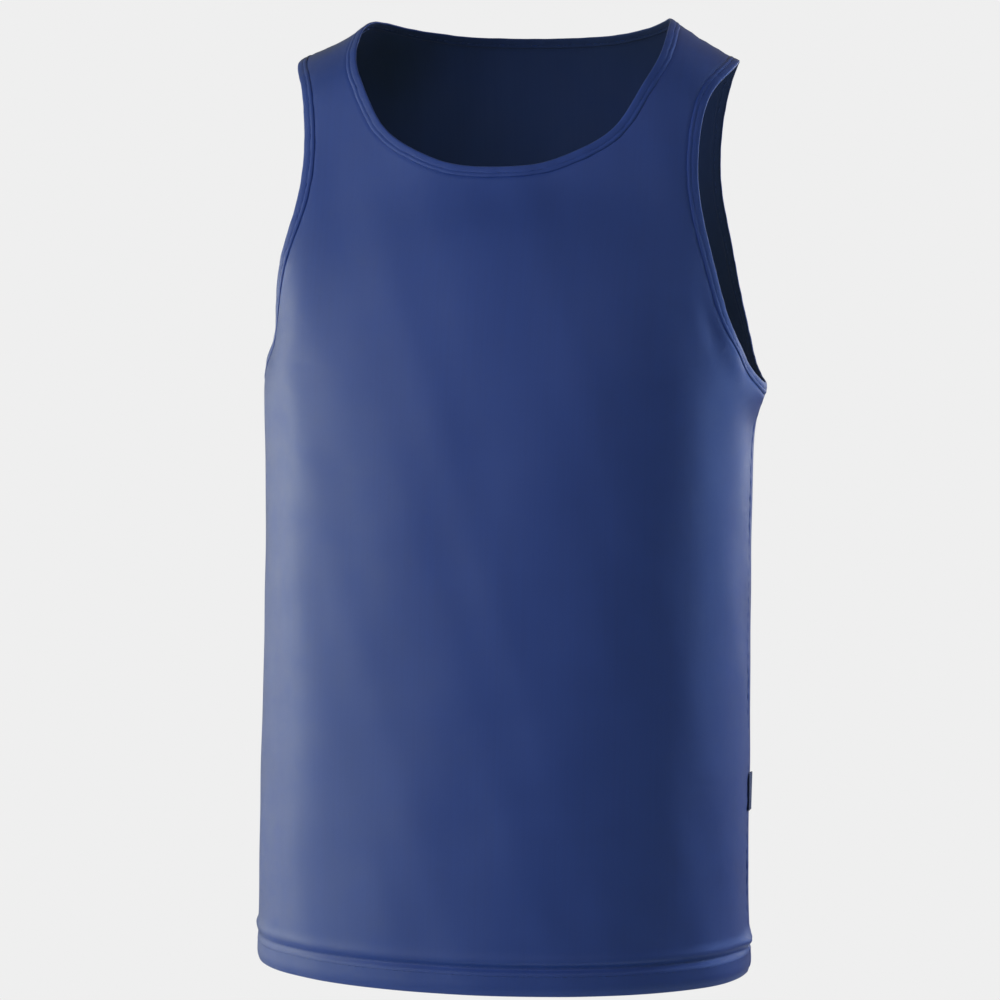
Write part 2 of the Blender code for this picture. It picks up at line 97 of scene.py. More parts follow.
# The finished openings, as pattern points on their bound edges
Edge = namedtuple("Edge", "across along")
NECK_OPENING = (
    Edge(0.0000, 0.1880),
    Edge(0.0300, 0.1830),
    Edge(0.0580, 0.1665),
    Edge(0.0850, 0.1400),
    Edge(0.1020, 0.1050),
    Edge(0.1135, 0.0680),
    Edge(0.1150, 0.0280),
    Edge(0.1095, -0.0080),
    Edge(0.0965, -0.0370),
    Edge(0.0780, -0.0590),
    Edge(0.0560, -0.0770),
    Edge(0.0300, -0.0900),
    Edge(0.0000, -0.0955),
)
UNDERARM_ALONG = 0.343  # where the armhole crosses the side seam
ARMHOLE_OPENING = (
    Edge(0.2150, 0.3160),
    Edge(0.1950, 0.2900),
    Edge(0.1780, 0.2570),
    Edge(0.1650, 0.2230),
    Edge(0.1535, 0.1900),
    Edge(0.1470, 0.1500),
    Edge(0.1480, 0.1150),
    Edge(0.1545, 0.0780),
    Edge(0.1645, 0.0380),
    Edge(0.1655, 0.0000),
    Edge(0.1605, -0.0370),
    Edge(0.1520, -0.0810),
    Edge(0.1460, -0.1300),
    Edge(0.1495, -0.1740),
    Edge(0.1680, -0.2320),
    Edge(0.1890, -0.2820),
    Edge(0.2180, -0.3220),
)

# Soft folds, each a ridge or a trough (negative height) with a rounded section. `share` is
# the way from the centre line to the side seam, negative to the wearer's right, and `lean`
# turns a fold from straight down the cloth, in degrees, its lower end to the wearer's left.
Fold = namedtuple("Fold", "share along lean length width height")
FOLDS = (
    # The cloth stands off the body where the armholes meet the side seams
    Fold(1.00, 0.349, 0, 0.026, 0.030, 0.0090),
    Fold(1.00, -0.349, 0, 0.026, 0.030, 0.0090),
    Fold(-1.00, 0.350, 0, 0.020, 0.030, 0.0020),
    Fold(-1.00, -0.350, 0, 0.020, 0.030, 0.0020),
    # The neck stands up at the shoulders
    *(Fold(0.55, along, 0, 0.050, 0.018, 0.0022) for along in (0.001, -0.001)),
    *(Fold(-0.55, along, 0, 0.050, 0.018, 0.0022) for along in (0.001, -0.001)),
    # The wearer's right strap rides a little higher
    *(Fold(-0.84, along, 0, 0.035, 0.025, 0.0030) for along in (0.001, -0.001)),
    # Front, beside and below the armholes
    Fold(-0.72, 0.150, 0, 0.085, 0.030, 0.0090),
    Fold(-0.64, 0.290, 0, 0.080, 0.034, 0.0040),
    Fold(-0.82, 0.282, 0, 0.048, 0.030, -0.0074),
    Fold(0.72, 0.290, 20, 0.030, 0.006, -0.0014),
    Fold(0.80, 0.308, 24, 0.032, 0.010, 0.0028),
    # Front, slack in the body
    Fold(-0.55, 0.560, 3, 0.150, 0.030, 0.0020),
    Fold(0.60, 0.600, -4, 0.140, 0.034, 0.0018),
    Fold(0.86, 0.800, 0, 0.050, 0.060, 0.0035),
    # The side seams pucker above the hem
    Fold(0.96, 0.7665, 0, 0.006, 0.014, 0.0030),
    Fold(-0.96, 0.7665, 0, 0.006, 0.014, 0.0015),
    # The back meets the front's lifted edge along the seams
    Fold(1.00, -0.800, 0, 0.050, 0.030, 0.0024),
    Fold(1.00, -0.7665, 0, 0.006, 0.010, 0.0017),
    Fold(-1.00, -0.7665, 0, 0.006, 0.010, 0.0009),
    Fold(-0.72, -0.001, 0, 0.020, 0.030, 0.0004),
    # Back
    Fold(-0.40, -0.420, -5, 0.130, 0.030, 0.0035),
    Fold(0.36, -0.450, 6, 0.140, 0.032, 0.0032),
    Fold(0.00, -0.520, 0, 0.150, 0.034, -0.0030),
    Fold(-0.66, -0.290, -10, 0.055, 0.012, 0.0024),
    Fold(0.68, -0.300, 12, 0.055, 0.012, 0.0022),
)

# Slack that waves the cloth a little all over, as trains of low waves
Ripple = namedtuple("Ripple", "across_waves along_waves start height")  # waves a metre
RIPPLES = (
    Ripple(11.0, 4.0, 0.3, 0.00022),
    Ripple(-17.0, 6.5, 1.9, 0.00016),
    Ripple(5.0, 15.0, 4.1, 0.00012),
    Ripple(26.0, -9.0, 2.6, 0.00007),
)

# ---------------------------------------------------------------- sizes of the sewing

# How each half panel is divided before it is cut finer. The neck columns end at the bottom
# of the neckline, the side columns at the bottom of the armhole, and the strap columns reach
# the shoulder seam.
NECK_COLUMNS = 11
STRAP_COLUMNS = 5
SIDE_COLUMNS = 8
COLUMNS = NECK_COLUMNS + STRAP_COLUMNS + SIDE_COLUMNS
LEVEL_ALONG = 0.400  # below this the rows are level
LEVEL_ROWS = 30
UNDERARM_ROWS = 4
ARM_ROWS = 34  # rows beside the armhole, above its bottom
HEM_ROWS = (  # heights above the hem's fold, negative up inside
    *(-0.0245, -0.0140, -0.0060, -0.0022, -0.0007, 0.0008, 0.0040, 0.0100),
    *(0.0150, 0.0175, 0.0200, 0.0225, 0.0250, 0.0290, 0.0350, 0.0430),
)
ROWS = len(HEM_ROWS) - 1 + LEVEL_ROWS + UNDERARM_ROWS + ARM_ROWS
SETTLE_ROUNDS = 2500
BORDER_INSETS = (0.0055, 0.0020)  # extra rows along every edge of a panel, inner one first
PANEL_CUTS = 2
MERGE_DISTANCE = 0.00001  # joins the ends of a ring
Panel = namedtuple("Panel", "name node side neck_rows")
PANELS = (
    Panel("front", "front_panel", 1, 17),
    Panel("back", "back_panel", -1, 8),
)

SEAM_GAP = 0.0003
TUCK = 0.0064  # how far a panel's edge lies in from a binding's fold
HEM_FOLD = 0.00095  # radius
HEM_STITCHING = (0.0145, 0.0200)  # heights of the two stitched rows
HEM_EASE = 0.80  # how much less it pulls at the wearer's-right side seam
HEM_EASE_REACH = 0.160
Swell = namedtuple("Swell", "height rise width")
HEM_SWELLS = (
    # The doubled cloth swells beside its stitching
    Swell(0.0150, 0.0004, 0.0026),
    Swell(0.0080, 0.0008, 0.0060),
    # The stitching pulls it in
    Swell(HEM_STITCHING[0], -0.00005, 0.0009),
    Swell(HEM_STITCHING[1], -0.00215, 0.0024),
)
HEM_ROLL = 0.0012  # how far the cloth rolls in at the fold
HEM_ROLL_HEIGHT = 0.0030
HEM_PUFF_HEIGHT = 0.0254  # the cloth swells a little above the hem's stitching
HEM_PUFF_WIDTH = 0.0038
HEM_PUFF = 0.0011
SEAM_DIP = 0.0011  # the cloth rolls in where two panels meet
SEAM_DIP_WIDTH = 0.0011
SEAM_PUCKER = 0.00022
SEAM_PUCKER_LENGTH = 0.0105
SEAM_PUCKER_REACH = 0.009
EDGE_DIP = 0.0004  # a groove where a binding's stitched edge pulls the panel in
EDGE_DIP_WIDTH = 0.0012
EDGE_POINTS = 500  # round each opening, to measure from
EDGE_BLOCK = 1000  # points of the cloth that are measured at a time

BINDING_STEP = 0.003  # round the opening
BINDING_TOP = 0.0005
BINDING_CROWN = 0.00022
BINDING_LEDGE_CROWN = 0.7  # share of it between the stitching and the edge
BINDING_INSIDE = -0.00135
# The folded outer edge's points, as distances past the binding's width and heights
BINDING_EDGE = np.array([[0.0004, -0.0002], [0.0001, 0.0002], [-0.0005, 0.00042]])
BINDING_EDGE_ROLL = 0.0011  # width of that edge
BINDING_OUTER_STEP = 0.0004
BINDING_INNER_STEP = 0.0008
BINDING_STITCHING = 0.0052  # in from the fold
BINDING_GROOVE_DEPTH = 0.00014
BINDING_GROOVE_WIDTH = 0.0006
BINDING_WAVERS = ((31, 0.00012), (53, 0.00008))  # waves round the opening, and their heights
BINDING_THICKNESS = 0.00050

STITCH_THICKNESS = 0.00036
STITCH_WIDTH = 1.25  # share of its thickness
STITCH_SUNK = 0.55  # share of its thickness
STITCH_LIFT = STITCH_THICKNESS * (0.5 - STITCH_SUNK)
STITCH_LINE_POINTS = 400
HEM_STITCHING_END = 0.0015  # short of the side seams

SERGED_WIDTH = 0.0055
SERGED_THICKNESS = 0.0013
SERGED_FULLNESS = 0.98  # share of its thickness
SERGED_PITCH = 0.0024
SERGED_RIDGE = 0.00016
SERGED_LAP = 0.0009  # how far it reaches past the seam, under the front
SERGED_END = 0.006  # short of the openings
SERGED_HEM_END = 0.022  # above the hem's fold
SERGED_SPANS = 12  # round its section
SERGED_SIDE_POINTS = 360
SERGED_SHOULDER_POINTS = 60

TAB_TOP = 0.643  # along the cloth
TAB_LENGTH = 0.028
TAB_WIDTH = 0.012
TAB_LEAN = 0.0008
TAB_FOLD = 0.0005  # radius
TAB_THICKNESS = 0.00028
TAB_CLEARANCE = 0.0001  # under its lower side
TAB_ROWS = 27
TAB_COLUMNS = 9  # on each side of its fold

# ---------------------------------------------------------------- the cloth's looks

Knit = namedtuple("Knit", "unevenness roughness specular")
JERSEY = Knit(0.09, 0.39, 0.49)
BINDING = Knit(0.08, 0.42, 0.45)
WRONG_SIDE = Knit(0.08, 0.8, 0.2)
SHEEN_ROUGHNESS = 0.35
MOTTLE_SCALE = 38.0
GRAIN_SCALE = 1400.0
STREAK_SCALES = (420.0, 5.0, 1.0)  # across the cloth, along it and out of it
THREAD_PITCH = 0.0008  # between the threads of an oversewn edge
WARP_PITCH = 0.0005
WEFT_PITCH = 0.0007

# ---------------------------------------------------------------- the studio

CAMERA_PLACE = (0.5228, -2.5690, -0.1980)
CAMERA_HEADING = math.radians(11.80)
CAMERA_TILT = math.radians(3.53)
CAMERA_ROLL = math.radians(0.35)
FLOOR_Z = -1.43
FLOOR_RADIUS = 3.2
FLOOR_FADE = 1.6  # from here out the floor thins away
FLOOR_FADE_END = FLOOR_RADIUS * 0.97
AMBIENT_TINT = (1.0, 0.88, 0.1, 1.0)
CHEST = (0, -0.05, -0.38)  # where most of the lamps point
Lamp = namedtuple("Lamp", "name place target width height power tint")
LAMPS = (
    Lamp("side_high", (-2.09, -0.18, 0.25), CHEST, 1.1, 2.0, 11.5, (0.93, 1.0, 0.82)),
    Lamp("side_low", (-2.08, -0.97, -0.50), CHEST, 1.2, 1.7, 19, (0.90, 1.0, 0.85)),
    Lamp("side_back", (-2.22, 0.60, -0.50), CHEST, 1.2, 1.7, 14, (1.0, 1.0, 0.80)),
    Lamp("front", (-0.72, -1.97, 0.25), CHEST, 1.1, 2.0, 13, (0.43, 0.53, 1.0)),
    Lamp("high_front", (0.00, -1.90, 1.50), CHEST, 1.2, 1.2, 8.7, (0.32, 0.45, 1.0)),
    Lamp("far_rim", (1.82, 1.05, 0.25), CHEST, 1.1, 2.0, 38, (0.30, 0.49, 1.0)),
    Lamp("left_edge", (-1.95, 0.75, -0.25), (0, -0.05, -0.3), 0.9, 0.9, 5, (0.95, 1.0, 0.95)),
    Lamp("right_edge", (0.92, 1.80, -0.05), (0, -0.05, -0.3), 0.8, 0.9, 5.5, (0.85, 0.90, 1.0)),
)


# ---------------------------------------------------------------- settings

COLOUR = {"subtype": "COLOR", "min": 0, "max": 1}


class SINGLET_PG_cloth(bpy.types.PropertyGroup):
    """The knit that the front and the back are cut from."""

    colour: bpy.props.FloatVectorProperty(
        name="Colour", description="Colour of the dyed knit",
        **COLOUR, default=FINISHES["jersey"]["base_color"],
    )
    # The wrong side's colour is darker than the jersey partly because the knit's wrong side is
    # duller and partly as painted shade for the dim inside of the singlet
    wrong_side_and_shade: bpy.props.FloatVectorProperty(
        name="Wrong side and shade", description="Colour of the knit's duller wrong side, which faces in",
        **COLOUR, default=(0.015, 0.032, 0.105),
    )
    thickness: bpy.props.FloatProperty(
        name="Thickness", description="Thickness of one layer of the knit",
        unit="LENGTH", min=0.0003, max=0.0009, default=0.00075,
    )
    wale: bpy.props.FloatProperty(
        name="Wale", description="Width of one column of knitted loops",
        unit="LENGTH", min=0.0003, default=0.00062,
    )
    course: bpy.props.FloatProperty(
        name="Course", description="Height of one row of knitted loops",
        unit="LENGTH", min=0.0003, default=0.00050,
    )
    slack: bpy.props.FloatProperty(
        name="Slack", description="How much the cloth ripples, 1 as drawn and 0 for none",
        min=0, max=3, default=1,
    )


class SINGLET_PG_sewing(bpy.types.PropertyGroup):
    """The bindings, the stitching and the tab."""

    binding_width: bpy.props.FloatProperty(
        name="Binding width",
        description="Width of the folded strip round the neck and the armholes",
        unit="LENGTH", default=0.008,
    )
    binding_colour: bpy.props.FloatVectorProperty(
        name="Binding colour", description="Colour of the folded strips",
        **COLOUR, default=FINISHES["binding"]["base_color"],
    )
    stitch_length: bpy.props.FloatProperty(
        name="Stitch", description="Length of thread that shows at each stitch",
        unit="LENGTH", default=0.0025,
    )
    stitch_pitch: bpy.props.FloatProperty(
        name="Stitch pitch", description="Distance from one stitch to the next",
        unit="LENGTH", default=0.0031,
    )
    thread_colour: bpy.props.FloatVectorProperty(
        name="Thread colour", description="Colour of the sewing thread",
        **COLOUR, default=(0.014, 0.055, 0.280),
    )
    tab_colour: bpy.props.FloatVectorProperty(
        name="Tab colour", description="Colour of the blank tab in the side seam",
        **COLOUR, default=FINISHES["tab"]["base_color"],
    )


class SINGLET_PG_studio(bpy.types.PropertyGroup):
    """The ambient light, the lamps, the backdrop and the camera."""

    backdrop: bpy.props.FloatProperty(
        name="Backdrop", description="Brightness of the plain backdrop",
        min=0, default=0.863,
    )
    ambient: bpy.props.FloatProperty(
        name="Ambient", description="Brightness of the light from all round",
        min=0, default=0.25,
    )
    lamps: bpy.props.FloatProperty(
        name="Lamps", description="Brightness of all the lamps, 1 as set",
        min=0, default=1,
    )
    lens: bpy.props.FloatProperty(
        name="Lens", description="Focal length of the camera",
        unit="CAMERA", default=125.3,
    )


# ---------------------------------------------------------------- the form


def smooth_through(stations, values):
    """Return the natural cubic spline through values at stations."""
    stations = np.asarray(stations, dtype=float)
    values = np.asarray(values, dtype=float)
    gap = np.diff(stations)
    rise = np.diff(values) / gap
    bend_rows = np.eye(len(stations))
    bends = np.zeros(len(stations))
    for i in range(1, len(stations) - 1):
        bend_rows[i, i - 1 : i + 2] = gap[i - 1], 2 * (gap[i - 1] + gap[i]), gap[i]
        bends[i] = 6 * (rise[i] - rise[i - 1])
    bend = np.linalg.solve(bend_rows, bends)

    def value_at(places):
        i = np.clip(np.searchsorted(stations, places) - 1, 0, len(gap) - 1)
        step = places - stations[i]
        slope = rise[i] - gap[i] * (2 * bend[i] + bend[i + 1]) / 6
        curve = bend[i] / 2 + step * (bend[i + 1] - bend[i]) / (6 * gap[i])
        return values[i] + step * (slope + step * curve)

    return value_at


def level_profiles():
    """Return a function of `along` for each measure of the rings, back hem to front hem."""
    lower = LEVELS[1:]
    stations = [-level.along for level in reversed(lower)]
    stations += [level.along for level in LEVELS]

    def profile(front, back):
        values = [getattr(level, back) for level in reversed(lower)]
        values += [getattr(level, front) for level in LEVELS]
        return smooth_through(stations, values)

    profiles = {name: profile(name, name) for name in ("side_x", "side_y", "side_z", "square")}
    profiles["centre_y"] = profile("front_y", "back_y")
    profiles["centre_z"] = profile("front_z", "back_z")
    return profiles


PROFILES = level_profiles()


def signed_power(base, power):
    return np.sign(base) * np.abs(base) ** power


def ring_points(along, turn):
    """Return x and y on each ring at an angle from its centre line, 90 degrees at the side."""
    side_x = PROFILES["side_x"](along)[:, None]
    side_y = PROFILES["side_y"](along)[:, None]
    depth = PROFILES["centre_y"](along)[:, None] - side_y
    power = 2 / PROFILES["square"](along)[:, None]
    x = side_x * signed_power(np.sin(turn), power)
    y = side_y + depth * signed_power(np.cos(turn), power)
    return x, y


def ring_reach(along):
    """Return a series of angles, closest at the centre line and the side seam, and the
    distance round each ring from its centre line to each angle."""
    turns = math.pi / 4 * (1 - np.cos(np.linspace(0, math.pi, RING_STEPS + 1)))
    x, y = ring_points(along, turns[None, :])
    steps = np.hypot(np.diff(x, axis=1), np.diff(y, axis=1))
    reach = np.concatenate([np.zeros((len(along), 1)), np.cumsum(steps, axis=1)], axis=1)
    return turns, reach


def quarter_girth(along):
    """Return the distance from the centre line to the side seam at each `along`."""
    return ring_reach(np.atleast_1d(np.asarray(along, dtype=float)))[1][:, -1]


def body_points(pattern):
    """Return the points of the form under an array of pattern points."""
    across, along = pattern[:, 0], pattern[:, 1]
    turns, reach = ring_reach(along)
    distance = np.abs(across)
    step = np.clip((reach < distance[:, None]).sum(axis=1), 1, RING_STEPS)
    rows = np.arange(len(across))
    start, end = reach[rows, step - 1], reach[rows, step]
    share = (distance - start) / (end - start)
    turn = turns[step - 1] + share * (turns[step] - turns[step - 1])
    x, y = ring_points(along, turn[:, None])
    x, y = x[:, 0], y[:, 0]
    outness = x / PROFILES["side_x"](along)
    fall = np.hypot(outness, SHOULDER_BEND) - SHOULDER_BEND
    fall /= math.hypot(1, SHOULDER_BEND) - SHOULDER_BEND
    centre_z = PROFILES["centre_z"](along)
    z = centre_z + fall * (PROFILES["side_z"](along) - centre_z)
    return np.stack([np.where(across < 0, -x, x), y, z], axis=1)


def slopes(pattern):
    """Return how the form's points move for a metre across and a metre along."""
    found = []
    for step in ((SLOPE_STEP, 0), (0, SLOPE_STEP)):
        moved = body_points(pattern + step) - body_points(pattern - np.array(step))
        found.append(moved / (2 * SLOPE_STEP))
    return found


def unit(vectors):
    return vectors / np.linalg.norm(vectors, axis=-1)[..., None]


def bump(distance, width):
    """Return a rounded rise of height 1 over a distance of 0."""
    return np.exp(-((distance / width) ** 2))


def fold_relief(pattern):
    """Return how far the folds lift the cloth off the form."""
    lift = np.zeros(len(pattern))
    for fold in FOLDS:
        middle = fold.share * quarter_girth(fold.along)[0]
        lean = math.radians(fold.lean)
        across = pattern[:, 0] - middle
        down = np.abs(pattern[:, 1]) - abs(fold.along)
        lengthwise = down * math.cos(lean) + across * math.sin(lean)
        sidewise = across * math.cos(lean) - down * math.sin(lean)
        rise = fold.height * bump(lengthwise, fold.length) * bump(sidewise, fold.width)
        same_side = np.sign(pattern[:, 1]) == math.copysign(1, fold.along)
        lift += np.where(same_side, rise, 0)
    return lift


def ripple_relief(pattern, slack):
    """Return how far the cloth's slack waves it."""
    lift = np.zeros(len(pattern))
    for ripple in RIPPLES:
        waves = ripple.across_waves * pattern[:, 0] + ripple.along_waves * pattern[:, 1]
        lift += slack * ripple.height * np.sin(math.tau * waves + ripple.start)
    return lift


def hem_puff(pattern):
    """Return how far the cloth swells above the hem's stitching."""
    height = BODY_ALONG - np.abs(pattern[:, 1])
    return HEM_PUFF * bump(height - HEM_PUFF_HEIGHT, HEM_PUFF_WIDTH)


def cloth_points(grid, raised, slack):
    """Return the points raised off the cloth at a grid of pattern points, and the directions
    that face out of it there."""
    pattern = grid.reshape(-1, 2)
    across, along = slopes(pattern)
    outward = unit(np.cross(along, across))
    lift = np.broadcast_to(raised, grid.shape[:-1]).reshape(-1)
    lift = lift + fold_relief(pattern) + ripple_relief(pattern, slack) + hem_puff(pattern)
    points = body_points(pattern) + outward * lift[:, None]
    shape = grid.shape[:-1] + (3,)
    return points.reshape(shape), outward.reshape(shape)


# ---------------------------------------------------------------- the openings


def smooth_line(points):
    """Return a closely spaced line through pattern points, joined by a cubic spline."""
    points = np.array(points, dtype=float)
    reach = np.concatenate([[0], np.cumsum(np.hypot(*np.diff(points, axis=0).T))])
    places = np.linspace(0, reach[-1], LINE_POINTS)
    return np.stack([smooth_through(reach, column)(places) for column in points.T], axis=1)


def neck_line():
    """Return the neck opening's line, centre front to centre back on the wearer's left."""
    ahead = [(-edge.across, edge.along) for edge in NECK_OPENING[2:0:-1]]
    behind = [(-edge.across, edge.along) for edge in NECK_OPENING[-2:-4:-1]]
    line = smooth_line(ahead + list(NECK_OPENING) + behind)
    line = line[line[:, 0] >= 0]
    line[0], line[-1] = NECK_OPENING[0], NECK_OPENING[-1]
    return line


def armhole_line():
    """Return the armhole's line, from the side seam over the shoulder and back to it."""
    front_seam = quarter_girth(UNDERARM_ALONG)[0]
    back_seam = quarter_girth(-UNDERARM_ALONG)[0]
    ahead = [(2 * front_seam - edge.across, edge.along) for edge in ARMHOLE_OPENING[1::-1]]
    behind = [(2 * back_seam - edge.across, edge.along) for edge in ARMHOLE_OPENING[:-3:-1]]
    start = [(front_seam, UNDERARM_ALONG)]
    end = [(back_seam, -UNDERARM_ALONG)]
    line = smooth_line(ahead + start + list(ARMHOLE_OPENING) + end + behind)
    seam = np.where(line[:, 1] > 0, front_seam, back_seam)
    line = line[line[:, 0] <= seam]
    line[0], line[-1] = start[0], end[0]
    return line


def step_left(line):
    """Return the pattern step at each point of a line that goes one metre over the form,
    square to the line and to its left, as seen from outside."""
    across, along = slopes(line)
    outward = unit(np.cross(along, across))
    forward = np.gradient(line, axis=0)
    tangent = unit(forward[:, :1] * across + forward[:, 1:] * along)
    left = np.cross(outward, tangent)
    stretch = np.array(
        [
            [(across * across).sum(1), (across * along).sum(1)],
            [(across * along).sum(1), (along * along).sum(1)],
        ]
    ).transpose(2, 0, 1)
    wanted = np.stack([(across * left).sum(1), (along * left).sum(1)], axis=1)
    step = np.linalg.solve(stretch, wanted[:, :, None])[:, :, 0]
    step[[0, -1], 0] = 0  # a line's ends are where it crosses the centre line or a side seam
    return step


# An opening's line, and at each point the pattern step that goes one metre into the cloth
Opening = namedtuple("Opening", "line step")


def opening_part(opening, side):
    """Return the part of an opening that lies on the front (1) or the back (-1)."""
    kept = opening.line[:, 1] * side >= 0
    return Opening(opening.line[kept], opening.step[kept])


def sample(line, reach, places):
    """Return the points of a line at places along it, where `reach` is its points' own."""
    return np.stack([np.interp(places, reach, column) for column in line.T], axis=1)


def arc_lengths(points):
    """Return the distance from the first of a line's points to each of them."""
    spans = np.linalg.norm(np.diff(points, axis=0), axis=1)
    return np.concatenate([[0], np.cumsum(spans)])


def stations(opening, count):
    """Return the ends of count spans of an opening, all of one length."""
    reach = arc_lengths(body_points(opening.line + opening.step * TUCK))
    places = np.linspace(0, reach[-1], count + 1)
    return Opening(sample(opening.line, reach, places), sample(opening.step, reach, places))


def find_openings():
    """Return the neck's and the wearer's-left armhole's lines."""
    neck = neck_line()
    arm = armhole_line()
    neck = Opening(neck, -step_left(neck))
    arm = Opening(arm, step_left(arm))
    for end in (0, -1):  # at the underarm the step follows the side seam
        below = arm.line[end, 1] + arm.step[end, 1] * TUCK
        arm.step[end, 0] = (quarter_girth(below)[0] - arm.line[end, 0]) / TUCK
    return neck, arm


NECK, ARMHOLE = find_openings()


def turned(opening):
    return Opening(opening.line[::-1], opening.step[::-1])


def mirrored(opening):
    return Opening(opening.line * (-1, 1), opening.step * (-1, 1))


def joined(first, second):
    """Return one opening and then another that starts where it ends."""
    line = np.concatenate([first.line, second.line[1:]])
    return Opening(line, np.concatenate([first.step, second.step[1:]]))


def opening_rings():
    """Return each whole opening, as seen from outside with the cloth on its left."""
    neck = turned(joined(NECK, turned(mirrored(NECK))))
    return {
        "neck": neck,
        "armhole_left": ARMHOLE,
        "armhole_right": turned(mirrored(ARMHOLE)),
    }


# ---------------------------------------------------------------- the panels


def cloth_cells(panel):
    """Return which cells of the half panel's grid are cloth, as columns by rows."""
    cells = np.ones((COLUMNS, ROWS), dtype=bool)
    cells[:NECK_COLUMNS, ROWS - panel.neck_rows :] = False
    cells[COLUMNS - SIDE_COLUMNS :, ROWS - ARM_ROWS :] = False
    return cells


def settle(grid, cells, first_row):
    """Move each inner point above first_row to the middle of its four neighbours, often."""
    inner = cells[1:, 1:] & cells[:-1, 1:] & cells[1:, :-1] & cells[:-1, :-1]
    free = np.zeros(grid.shape[:2], dtype=bool)
    free[1:-1, 1:-1] = inner
    free[:, : first_row + 1] = False
    for _ in range(SETTLE_ROUNDS):
        neighbours = sum(np.roll(grid, shift, axis) for axis in (0, 1) for shift in (1, -1))
        grid[free] = neighbours[free] / 4


def half_panel_pattern(panel):
    """Return the pattern point of each point of the half panel's grid, wearer's left. The
    hem's turned-up part is drafted as if it hung down below the fold."""
    side = panel.side
    neck, arm = opening_part(NECK, side), opening_part(ARMHOLE, side)
    if side < 0:
        neck, arm = turned(neck), turned(arm)
    neck = stations(neck, NECK_COLUMNS + panel.neck_rows)
    arm = stations(arm, SIDE_COLUMNS + ARM_ROWS)
    neck = neck.line + neck.step * TUCK
    arm = arm.line + arm.step * TUCK
    neck_row = ROWS - panel.neck_rows
    arm_row = ROWS - ARM_ROWS
    arm_column = COLUMNS - SIDE_COLUMNS
    grid = np.zeros((COLUMNS + 1, ROWS + 1, 2))

    def set_row(row, along):
        girth = quarter_girth(side * min(along, BODY_ALONG))[0]
        grid[:, row, 0] = np.linspace(0, girth, COLUMNS + 1)
        grid[:, row, 1] = side * along

    levels = [BODY_ALONG - height for height in HEM_ROWS]
    levels += list(np.linspace(levels[-1], LEVEL_ALONG, LEVEL_ROWS + 1)[1:])
    for row, along in enumerate(levels):
        set_row(row, along)
    top_level = len(levels) - 1
    underarm = abs(arm[0, 1])
    for row in range(top_level + 1, ROWS + 1):
        share = min(1, (row - top_level) / (arm_row - top_level))
        set_row(row, LEVEL_ALONG + share * (underarm - LEVEL_ALONG))
    centre = np.linspace(side * LEVEL_ALONG, neck[0, 1], neck_row - top_level + 1)
    grid[0, top_level : neck_row + 1, 1] = centre
    grid[: NECK_COLUMNS + 1, neck_row] = neck[: NECK_COLUMNS + 1]
    grid[NECK_COLUMNS, neck_row:] = neck[NECK_COLUMNS:]
    grid[arm_column:, arm_row] = arm[SIDE_COLUMNS::-1]
    grid[arm_column, arm_row:] = arm[SIDE_COLUMNS:]
    shoulder = np.linspace(neck[-1], arm[-1], STRAP_COLUMNS + 1)
    grid[NECK_COLUMNS : arm_column + 1, -1] = shoulder
    settle(grid, cloth_cells(panel), top_level)
    grid[-1, :, 0] -= SEAM_GAP / 2
    grid[:, -1, 1] += side * SEAM_GAP / 2
    return grid


def laid_grid(columns, rows):
    """Return a bmesh of a plain grid, and the column and row of each of its vertices."""
    bm = bmesh.new()
    bmesh.ops.create_grid(bm, x_segments=columns, y_segments=rows, size=0.5)
    places = {}
    for vert in bm.verts:
        places[vert] = round((vert.co.x + 0.5) * columns), round((vert.co.y + 0.5) * rows)
    return bm, places


def cut_panel(panel):
    """Return a bmesh of a whole panel lying flat, with its outer face up."""
    half = half_panel_pattern(panel)
    pattern = np.concatenate([half[:0:-1] * (-1, 1), half])
    cells = cloth_cells(panel)
    cells = np.concatenate([cells[::-1], cells])
    bm, places = laid_grid(*cells.shape)
    for vert, place in places.items():
        vert.co = (*pattern[place], 0)
    empty = []
    for face in bm.faces:
        column = min(places[vert][0] for vert in face.verts)
        row = min(places[vert][1] for vert in face.verts)
        if not cells[column, row]:
            empty.append(face)
    bmesh.ops.delete(bm, geom=empty, context="FACES")
    bm.normal_update()
    for width in BORDER_INSETS:
        bmesh.ops.inset_region(
            bm, faces=bm.faces[:], thickness=width, use_boundary=True, use_even_offset=True
        )
    bmesh.ops.subdivide_edges(bm, edges=bm.edges[:], cuts=PANEL_CUTS, use_grid_fill=True)
    bm.normal_update()
    bm.faces.ensure_lookup_table()
    if bm.faces[0].normal.z > 0:
        bmesh.ops.reverse_faces(bm, faces=bm.faces[:])
    cloth = bm.loops.layers.uv.new("cloth")
    for face in bm.faces:
        for loop in face.loops:
            loop[cloth].uv = loop.vert.co.xy
    return bm


def turn_hem(pattern):
    """Return the pattern with the hem's turned-up part brought up inside, and how far each
    point is raised by that."""
    start = BODY_ALONG - HEM_FOLD
    past = np.abs(pattern[:, 1]) - start
    turn = np.clip(past / HEM_FOLD, 0, math.pi)
    along = start + HEM_FOLD * np.sin(turn) - np.maximum(past - math.pi * HEM_FOLD, 0)
    along = np.where(past > 0, along, np.abs(pattern[:, 1]))
    raised = -HEM_FOLD * (1 - np.cos(turn))
    return np.stack([pattern[:, 0], along * np.sign(pattern[:, 1])], axis=1), raised


